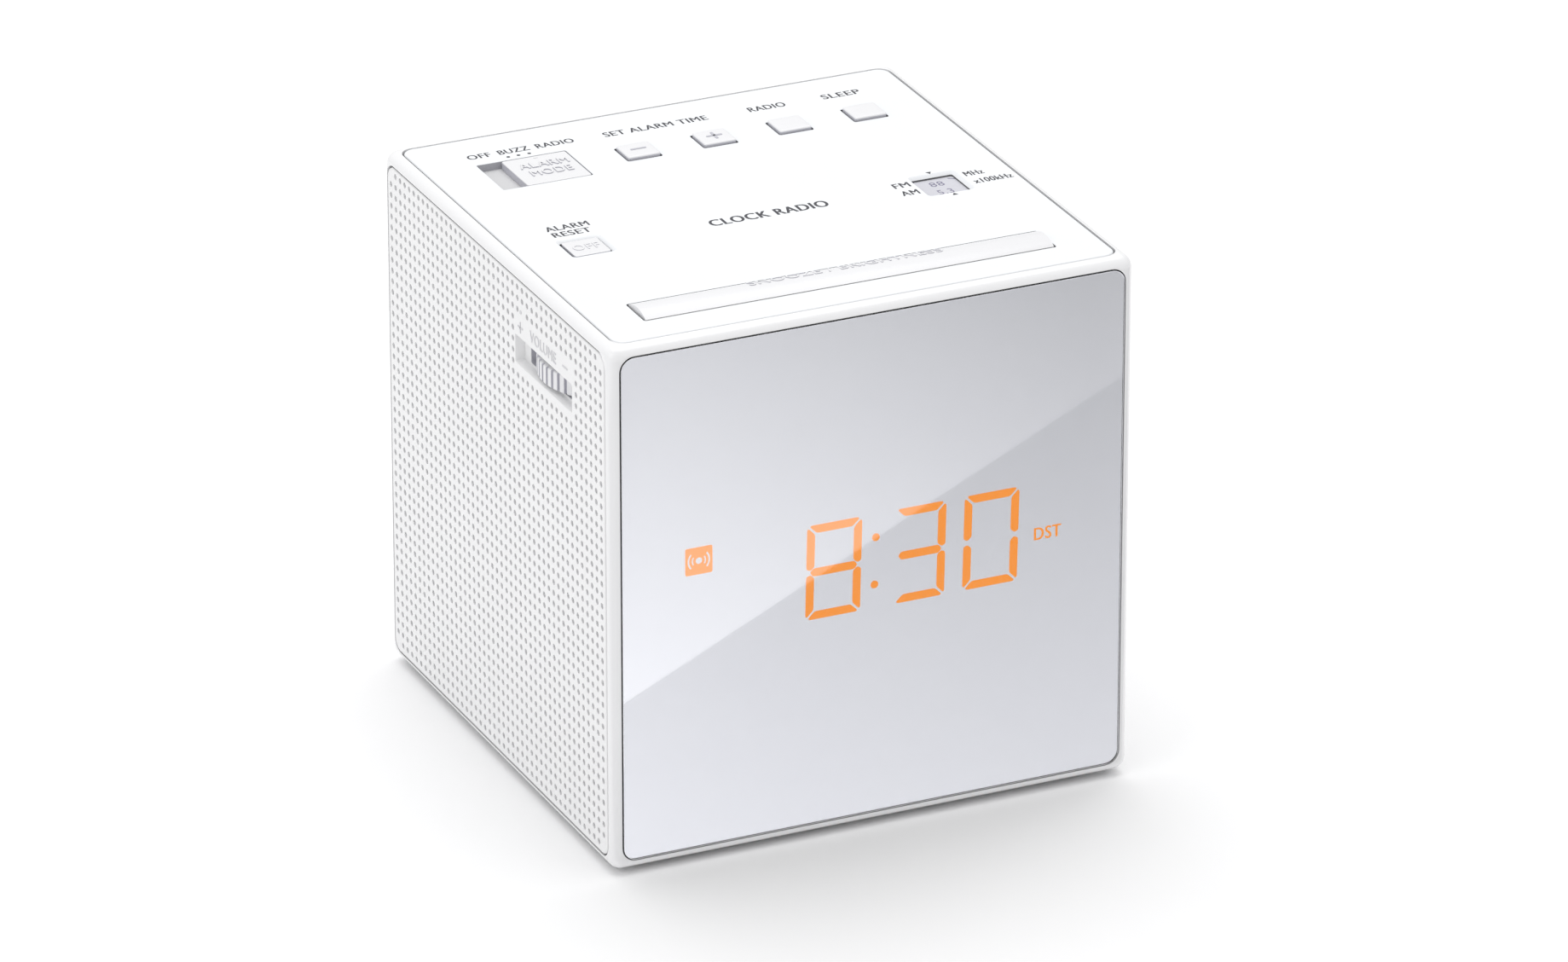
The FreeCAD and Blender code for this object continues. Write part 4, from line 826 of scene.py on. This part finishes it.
def addRidgedRim(bm, shape, teeth):
    (x, y), ridges = shape["at"], shape["ridges"]

    def rim(inset, level):
        loop = []
        for step in range(4 * ridges):
            groove = 0.0 if step % 4 in (0, 1) else max(0.0, teeth["depth"] - inset * teeth["grooveLoss"])
            reach = shape["radius"] - inset - groove
            turn = 2 * math.pi * (step // 4 + teeth["tooth"][step % 4]) / ridges
            loop.append((x + reach * math.cos(turn), y + reach * math.sin(turn)))
        return addRing(bm, placer("top"), loop, level)

    rings = [rim(inset, shape["low"] + rise) for inset, rise in teeth["edge"]]
    rings += [rim(inset, shape["high"] - rise) for inset, rise in reversed(teeth["edge"])]
    for first, second in zip(rings, rings[1:]):
        joinRings(bm, first, second, 0, False)
    # Painted shade: the valley and both slopes of each ridge take the second, darker material.
    for number, face in enumerate(bm.faces):
        face.material_index = 1 if number % 4 else 0
    for ring in (rings[0], rings[-1]):
        bm.faces.new(ring).smooth = False


def makeWheels(volume, tuning, teeth, numbers):
    bm = bmesh.new()
    addRidgedRim(bm, volume, teeth)
    addPiece(bm, "volumeWheel", "volume_wheel_body", ["keyWhite", "paintedShadeGrey"], ("volume_wheel",))
    bm = bmesh.new()
    addRidgedRim(bm, tuning, teeth)
    place, low, high, edge = placer("top"), tuning["discLow"], tuning["discHigh"], tuning["discEdge"]
    stackBlock(bm, place, tuning["at"] + (tuning["drum"], 64),
               [(0, tuning["high"] + 0.01), (0, low - 0.01)])
    stackBlock(bm, place, tuning["at"] + (tuning["disc"], 96),
               [(-edge, low), (0, low + edge), (0, high - edge), (-edge, high)], 2)
    addPiece(bm, "tuningWheel", "tuning_wheel_body", ["keyWhite", "paintedShadeGrey", "dialGrey"],
             ("tuning_wheel",))
    bm = bmesh.new()
    for radius, words, gap, tall, wide in numbers:
        for count, word in enumerate(words):
            turn = math.radians(-90.0 - gap * count)
            outward = Vector((math.cos(turn), math.sin(turn), 0))
            along = Vector((-math.sin(turn), math.cos(turn), 0))
            centre = Vector(tuning["at"] + (0,)) + outward * radius

            def onDisc(u, v, w):
                return (centre + along * u - outward * v + Vector((0, 0, w))) * mm

            half = wide * len(word.replace(".", "")) / 2 + 0.2 * word.count(".")
            addWords(bm, onDisc, word, (-half, half, -tall / 2, tall / 2), *tuning["print"])
    addPiece(bm, "dialNumbers", "tuning_wheel_body", ["dialPrint"])


makeWheels(volumeShape, tuningShape, rimShape, dialNumbers)
print("wheels ready")

# Window: a clear plate, a half mirror film behind it and glowing strokes in the narrow gap between the two.
windowShape = {"panel": (0, 51.25, 97.2, 96.4, 2.55, 10), "front": 50.75, "back": 50.35,
               "mirrorFront": 50.3, "mirrorBack": 48.75}
digitShape = {"low": 42.95, "high": 61.1, "lean": 0.023, "stroke": 1.54, "gap": 0.6, "inset": 0.21,
              "levels": (50.31, 50.332), "mitre": 0.25, "corner": (0.8, 0.28), "side": (0.3, 0.75),
              "waist": (0.1, 0.6), "point": 0.45, "tip": 0.72,
              "figures": (("8", -13.35, -2.3), ("3", 3.75, 14.1), ("0", 17.25, 28.4)),
              "dots": ((0.35, 56.55), (0.1, 47.45)), "dotRadius": 0.74}
strokesOf = {"8": "abcdefg", "3": "abcdg", "0": "abcdef"}


def makeWindow(shape):
    outline = shape["panel"]
    bm = makePlate("front", outline, shape["front"], shape["back"], [], bevel=0.2)
    plate = addPiece(bm, "windowPlate", "cabinet", ["windowClear"], ("front_window",))
    bm = makePlate("front", outline, shape["mirrorFront"], shape["mirrorBack"], [], bevel=0.03, steps=1,
                   wall=1)
    mirror = addPiece(bm, "halfMirror", "cabinet", ["mirrorFilm", "windowEdge"],
                      ("display_film",))
    return plate, mirror


# Seven strokes, lettered clockwise from the top with the middle one last. Five are mirrored from two.
def strokeOutlines(left, right, setup):
    half, gap, low, high = setup["stroke"] / 2, setup["gap"] / 2, setup["low"], setup["high"]
    inner, outer, middle = left + 2 * half, right - 2 * half, (low + high) / 2
    mitre, tip = gap + setup["mitre"], half * setup["tip"]
    (cornerIn, cornerDown), (sideIn, sideDown) = setup["corner"], setup["side"]
    waistUp, waistShare = setup["waist"]
    across = [(left + mitre, high - cornerDown), (left + cornerIn, high), (right - cornerIn, high),
              (right - mitre, high - cornerDown), (outer - gap, high - 2 * half),
              (inner + gap, high - 2 * half)]
    upright = [(left, high - sideDown), (left + sideIn, high - mitre), (inner, high - 2 * half - gap),
               (inner, middle + half + gap), (left + half, middle + gap + waistUp),
               (left, middle + half * waistShare + gap)]
    start, end = left + gap + setup["point"], right - gap - setup["point"]
    centre = [(start, middle), (start + tip, middle + half), (end - tip, middle + half), (end, middle),
              (end - tip, middle - half), (start + tip, middle - half)]

    def mirrored(points, sideways, upsideDown):
        return [(left + right - u if sideways else u, low + high - v if upsideDown else v) for u, v in points]

    return {"a": across, "b": mirrored(upright, True, False), "c": mirrored(upright, True, True),
            "d": mirrored(across, False, True), "e": mirrored(upright, False, True), "f": upright,
            "g": centre}


# Rounds the corners of an outline by cutting each one twice.
def soften(points, shares=(0.16, 0.25), longest=0.22):
    for share in shares:
        made = []
        for index, point in enumerate(points):
            here = Vector(point)
            for other in (Vector(points[index - 1]), Vector(points[(index + 1) % len(points)])):
                reach = min(share, longest / max(0.05, (other - here).length))
                made.append(tuple(here.lerp(other, reach)))
        points = made
    return points


def makeDigits(setup):
    bm = bmesh.new()
    place, middle = placer("front"), (setup["low"] + setup["high"]) / 2

    def leaning(u, v, w):
        return place(u + (v - middle) * setup["lean"], v, w)

    for figure, left, right in setup["figures"]:
        outlines = strokeOutlines(left + setup["inset"], right - setup["inset"], setup)
        for stroke in strokesOf[figure]:
            addOutline(bm, leaning, soften(outlines[stroke]), *setup["levels"])
    for spot in setup["dots"]:
        addOutline(bm, place, circleLoop(spot + (setup["dotRadius"], 24)), *setup["levels"])
    addPiece(bm, "digitStrokes", "cabinet", ["amberGlow"], ("display_segments",))


windowPieces = makeWindow(windowShape)
makeDigits(digitShape)

# Small marks in the window: an alarm mark at the left and a summer time mark at the right. The arcs are
# radius, width and half angle.
markShape = {"alarm": (-33.8, 58.55), "size": 5.2, "round": 0.35, "dot": 0.62,
             "arcs": ((1.25, 0.26, 34), (2.0, 0.32, 42)), "arcSteps": 8,
             "summer": ("DST", (31.4, 36.6, 50.0, 52.4)), "weight": 0.07, "levels": (50.31, 50.322)}


def arcLoop(centre, radius, width, start, end, steps):
    turns = [math.radians(start + (end - start) * step / steps) for step in range(steps + 1)]
    spots = [(radius + width / 2, turn) for turn in turns]
    spots += [(radius - width / 2, turn) for turn in reversed(turns)]
    return [(centre[0] + reach * math.cos(turn), centre[1] + reach * math.sin(turn)) for reach, turn in spots]


def makeMarks(setup):
    bm = bmesh.new()
    place, (low, high) = placer("front"), setup["levels"]
    centre, size = setup["alarm"], setup["size"]
    loops = [rectLoop(centre + (size, size, setup["round"])),
             circleLoop(centre + (setup["dot"], 20))]
    for radius, width, spread in setup["arcs"]:
        for side in (0, 180):
            loops.append(arcLoop(centre, radius, width, side - spread, side + spread, setup["arcSteps"]))
    lower = [(loop, addRing(bm, place, loop, low)) for loop in loops]
    upper = [(loop, addRing(bm, place, loop, high)) for loop in loops]
    for first, second in zip(lower, upper):
        joinRings(bm, first[1], second[1], 0, False)
    fillFlat(bm, lower[0], lower[1:])
    fillFlat(bm, upper[0], upper[1:])
    addWords(bm, place, *setup["summer"], low, high, weight=setup["weight"])
    addPiece(bm, "windowMarks", "cabinet", ["amberGlow"])


makeMarks(markShape)
print("window ready")


# A round seat for a screw head with a hole in its floor.
def screwSeat(spot, radius, hole, depth):
    inside = {"shape": spot + (hole, 24), "bevel": 0.05, "steps": 1}
    return {"shape": spot + (radius, 32), "depth": depth, "inside": [inside]}


# Rear cover: vents, key openings, the wave band opening, screw seats and the cord gland's hole.
rearShape = {"panel": (0, 51.25, 96.9, 96.1, 2.4, 8), "level": 50.75, "back": 48.75, "keyRow": 80.0,
             "print": (50.752, 50.762), "keys": {"clock_key": -30.0, "summer_key": -12.0},
             "keySize": (7.0, 5.0, 0.5, 5),
             "keyHole": (7.6, 5.6, 0.5), "keyProfile": ((0, 47.7), (0, 50.15), (-0.09, 50.36), (-0.3, 50.45)),
             "band": 24.0, "bandHole": (12.6, 5.6, 0.5), "vents": 7, "ventLow": 38.25, "ventPitch": 3.6,
             "ventSize": (44, 1.6, 0.78), "gland": (24, 13, 4.0, 40),
             "screws": ((43.5, 8), (-43.5, 8), (43.5, 94), (-43.5, 94)), "seat": (2.55, 1.4, 1.3)}
rearWords = (("TIME SET", (-35.0, -25.0, 84.4, 86.0)), ("SUMMER TIME", (-18.5, -5.5, 84.4, 86.0)),
             ("FM", (18.6, 21.0, 84.4, 86.0)), ("AM", (27.0, 29.6, 84.4, 86.0)),
             ("BAND", (20.6, 27.4, 74.0, 75.6)))
bandShape = {"at": (22.0, 80.0), "slide": (19.0, 8.0, 0.3, 3), "slideProfile": ((0, 47.65), (0, 48.65)),
             "knob": (8.0, 5.0, 0.4, 4),
             "knobProfile": ((0, 48.66), (0, 50.0), (-0.06, 50.1), (-0.15, 50.13)),
             "ribs": (-2.4, -1.2, 0.0, 1.2, 2.4), "rib": (0.5, 4.2, 0.2, 3),
             "ribProfile": ((0, 50.1), (0, 50.35), (-0.1, 50.45))}


def makeRear(shape, words, band):
    row = shape["keyRow"]
    holes = [{"shape": (u, row) + shape["keyHole"], "bevel": 0.2} for u in shape["keys"].values()]
    holes.append({"shape": (shape["band"], row) + shape["bandHole"], "bevel": 0.2})
    for count in range(shape["vents"]):
        level = shape["ventLow"] + shape["ventPitch"] * count
        holes.append({"shape": (0, level) + shape["ventSize"], "bevel": 0.25, "steps": 3})
    holes.append({"shape": shape["gland"], "bevel": 0.2})
    holes += [screwSeat(spot, *shape["seat"]) for spot in shape["screws"]]
    # The plate's outer wall takes the painted gap shade.
    bm = makePlate("rear", shape["panel"], shape["level"], shape["back"], holes, wall=1)
    addPiece(bm, "rearCover", "cabinet", ["rearWhite", "gapShade"], ("rear_cover",))
    place = placer("rear")
    bm = bmesh.new()
    for text, box in words:
        addWords(bm, place, text, box, *shape["print"])
    addPiece(bm, "rearPrint", "cabinet", ["printGrey"])
    for node, u in shape["keys"].items():
        bm = bmesh.new()
        stackBlock(bm, place, (u, row) + shape["keySize"], shape["keyProfile"])
        addPiece(bm, node.replace("_key", "Key"), node + "_body", ["keyWhite"], (node,))
    bm = bmesh.new()
    u, v = band["at"]
    stackBlock(bm, place, (u, v) + band["slide"], band["slideProfile"])
    stackBlock(bm, place, (u, v) + band["knob"], band["knobProfile"])
    for rib in band["ribs"]:
        stackBlock(bm, place, (u + rib, v) + band["rib"], band["ribProfile"])
    addPiece(bm, "bandSelector", "band_slider_body", ["blackPlastic"], ("band_slider",))


makeRear(rearShape, rearWords, bandShape)

# Underside: cover, battery door and rubber feet. Levels are depths below the floor, so they are negative.
baseShape = {"span": 96.6, "round": 2.4, "level": -1.0, "back": -3.0, "door": (-24, 18, 21.8, 30.0),
             "doorBack": -2.6, "doorGap": 0.3, "doorScrew": (-24, 29), "doorSeat": (2.1, 0.95, 1.0),
             "grip": (-24, 7.5, 9, 1.2, 0.3), "screws": ((34, 43), (-34, 43), (34, -43), (-34, -43)),
             "seat": (2.55, 1.4, 1.2), "feet": ((41, 33), (-41, 33), (41, -33), (-41, -33)),
             "footRadius": 5.0, "footGap": 0.3,
             "footProfile": ((0, -1.4), (0, -0.45), (-0.12, -0.18), (-0.45, -0.02), (-0.9, 0.0),
                             (-1.1, -0.16), (-1.5, -0.16), (-1.7, 0.0))}


def makeBase(shape):
    place, level = placer("bottom"), shape["level"]
    u, v, wide, tall = shape["door"]
    gap = 2 * shape["doorGap"]
    holes = [{"shape": (u, v, wide + gap, tall + gap, 1.3)}]
    holes += [screwSeat(spot, *shape["seat"]) for spot in shape["screws"]]
    holes += [{"shape": spot + (shape["footRadius"] + shape["footGap"], 48), "bevel": 0.1,
               "depth": 0.5} for spot in shape["feet"]]
    outline = (0, 0, shape["span"], shape["span"], shape["round"], 8)
    bm = makePlate("bottom", outline, level, shape["back"], holes)
    addPiece(bm, "baseCover", "cabinet", ["rearWhite"], ("bottom_cover",))
    holes = [screwSeat(shape["doorScrew"], *shape["doorSeat"]),
             {"shape": shape["grip"], "bevel": 0.1, "depth": 0.5}]
    bm = makePlate("bottom", (u, v, wide, tall, 1.0), level, shape["doorBack"], holes, bevel=0.2)
    addWords(bm, place, "BATTERY", (u - 6, u + 6, v + 0.5, v + 2.6), level - 0.05, level + 0.12)
    addPiece(bm, "batteryDoor", "cabinet", ["rearWhite"], ("battery_door",))
    bm = bmesh.new()
    for spot in shape["feet"]:
        stackBlock(bm, place, spot + (shape["footRadius"], 48), shape["footProfile"])
    addPiece(bm, "rubberFeet", "cabinet", ["softRubber"], ("feet",))


makeBase(baseShape)
print("rear and underside ready")

# Parts that keep their own shape and only get a finish.
innerFinish = {
    "screwSteel": ("door_screw", "case_screws", "board_screws", "speaker_screws"),
    "softRubber": ("cord_gland",),
    "blackPlastic": ("display_housing", "clock_chip", "radio_chip", "minus_plunger", "plus_plunger",
                     "radio_plunger", "sleep_plunger", "alarm_off_plunger", "snooze_plunger", "clock_plunger",
                     "summer_plunger"),
    "boardGreen": ("display_board", "key_board", "main_board"),
    "switchGrey": ("key_switches", "mode_switch", "rear_switches", "band_switch", "volume_pot", "rod_clips"),
    "platedSteel": ("tuning_capacitor", "transformer_strap", "speaker_basket", "coin_cell", "cell_contact"),
    "canSleeve": ("capacitors",),
    "coreIron": ("transformer_core",),
    "wireCopper": ("transformer_coil",),
    "coilCopper": ("antenna_coil",),
    "ferriteDark": ("ferrite_rod", "speaker_magnet"),
    "conePaper": ("speaker_cone",),
}
for material, members in innerFinish.items():
    for node in members:
        materials = nodes[node].data.materials
        materials.clear()
        materials.append(finish[material])
print("inner parts ready")

# Stage: a pale floor and soft light from all round.
stageShape = {"floor": 6.0, "world": 0.68, "aim": (0, 0, 0.05),
              "lights": (("overhead", 11.0, 1.4, (0.1, 0.2, 1.3)),
                         ("leftFill", 2.4, 0.9, (-1.2, -0.35, 0.6)))}


def makeStage(setup):
    bm = bmesh.new()
    bmesh.ops.create_grid(bm, x_segments=8, y_segments=8, size=setup["floor"] / 2)
    floor = newObject("floor", meshFrom(bm, "floor"))
    floor.data.materials.append(finish["floorPale"])
    world = bpy.data.worlds.new("softRoom")
    bpy.context.scene.world = world
    world.use_nodes = True
    background = world.node_tree.nodes["Background"].inputs
    background["Color"].default_value = (1.0, 1.0, 1.0, 1)
    background["Strength"].default_value = setup["world"]
    for name, energy, size, spot in setup["lights"]:
        data = bpy.data.lights.new(name, "AREA")
        data.energy = energy
        data.size = size
        light = newObject(name, data)
        light.location = spot
        turnBack(light, Vector(spot) - Vector(setup["aim"]))


# Light card: a glowing sheet on the floor that only the window reflects. Seen in the clear plate it is a
# glare with a slanted edge. Seen in the half mirror, through the plate, it is a tone that falls with height.
cardShape = {"left": -0.3, "right": 0.5, "near": -0.0525, "far": -0.7, "height": 0.0006,
             "edgeStart": (-0.0198, -0.1153), "edgeEnd": (0.1302, -0.2118), "windowFoot": -0.052,
             "windowHead": -0.256, "windowWide": 0.0969, "windowStart": 0.72, "slide": 0.455, "bend": 1.5,
             "glare": 0.2, "glareFade": 4.0, "glareLean": 0.65, "glass": 0.094, "film": 0.641,
             "tone": 0.415, "toneDown": 0.24, "toneLeft": 0.12, "toneLow": 0.25, "toneHigh": 0.8,
             "colour": (0.985, 0.99, 1.015, 1)}


def makeCard(setup, receivers):
    bm = bmesh.new()
    corners = [("left", "far"), ("right", "far"), ("right", "near"), ("left", "near")]
    bm.faces.new([bm.verts.new((setup[x], setup[y], setup["height"])) for x, y in corners])
    card = newObject("lightCard", meshFrom(bm, "lightCard"))
    material = bpy.data.materials.new("lightCard")
    material.use_nodes = True
    tree = material.node_tree
    tree.nodes.clear()

    def act(operation, *values, **settings):
        return mathNode(tree, operation, *values, **settings)

    spot = addNode(tree, "ShaderNodeSeparateXYZ", ((0, objectPlace(tree)),)).outputs
    startX, startY = setup["edgeStart"]
    slope = (setup["edgeEnd"][1] - startY) / (setup["edgeEnd"][0] - startX)
    beyond = act("SUBTRACT", act("MULTIPLY_ADD", spot["X"], slope, startY - slope * startX), spot["Y"])
    reach = setup["windowHead"] - setup["windowFoot"]
    up = act("MULTIPLY_ADD", spot["Y"], 1 / reach, -setup["windowFoot"] / reach)
    shifted = act("MULTIPLY_ADD", spot["Y"], setup["slide"], spot["X"])
    right = act("MULTIPLY_ADD", shifted, 1 / setup["windowWide"], setup["windowStart"], use_clamp=True)
    fade = act("MAXIMUM", act("MULTIPLY_ADD", beyond, -setup["glareFade"], 1.0), 0.0)
    lean = act("MULTIPLY_ADD", act("POWER", right, setup["bend"]), -setup["glareLean"], 1.0)
    glare = act("MULTIPLY", act("MULTIPLY", act("MULTIPLY", fade, lean), act("GREATER_THAN", beyond, 0.0)),
                setup["glare"] / setup["glass"])
    leftShare = act("POWER", act("SUBTRACT", 1.0, right), setup["bend"])
    base = act("MULTIPLY_ADD", act("SUBTRACT", 1.0, up), setup["toneDown"], setup["tone"])
    tone = act("MULTIPLY_ADD", leftShare, setup["toneLeft"], base)
    tone = act("MAXIMUM", act("MINIMUM", tone, setup["toneHigh"]), setup["toneLow"])
    silver = act("MULTIPLY", tone, 1 / setup["film"])
    path = addNode(tree, "ShaderNodeLightPath").outputs["Transmission Depth"]
    throughPlate = act("GREATER_THAN", path, 0.5)
    strength = addNode(tree, "ShaderNodeMix", (("Factor", throughPlate), (2, glare), (3, silver)),
                       data_type="FLOAT").outputs[0]
    glow = addNode(tree, "ShaderNodeEmission", (("Color", setup["colour"]), ("Strength", strength)))
    addNode(tree, "ShaderNodeOutputMaterial", (("Surface", glow.outputs[0]),))
    card.data.materials.append(material)
    card.visible_camera = False
    card.visible_diffuse = False
    card.visible_shadow = False
    group = bpy.data.collections.new("cardReceivers")
    for piece in receivers:
        group.objects.link(piece)
    card.light_linking.receiver_collection = group


makeStage(stageShape)
makeCard(cardShape, windowPieces)
bpy.context.scene.view_settings.view_transform = "Standard"
print("stage ready")
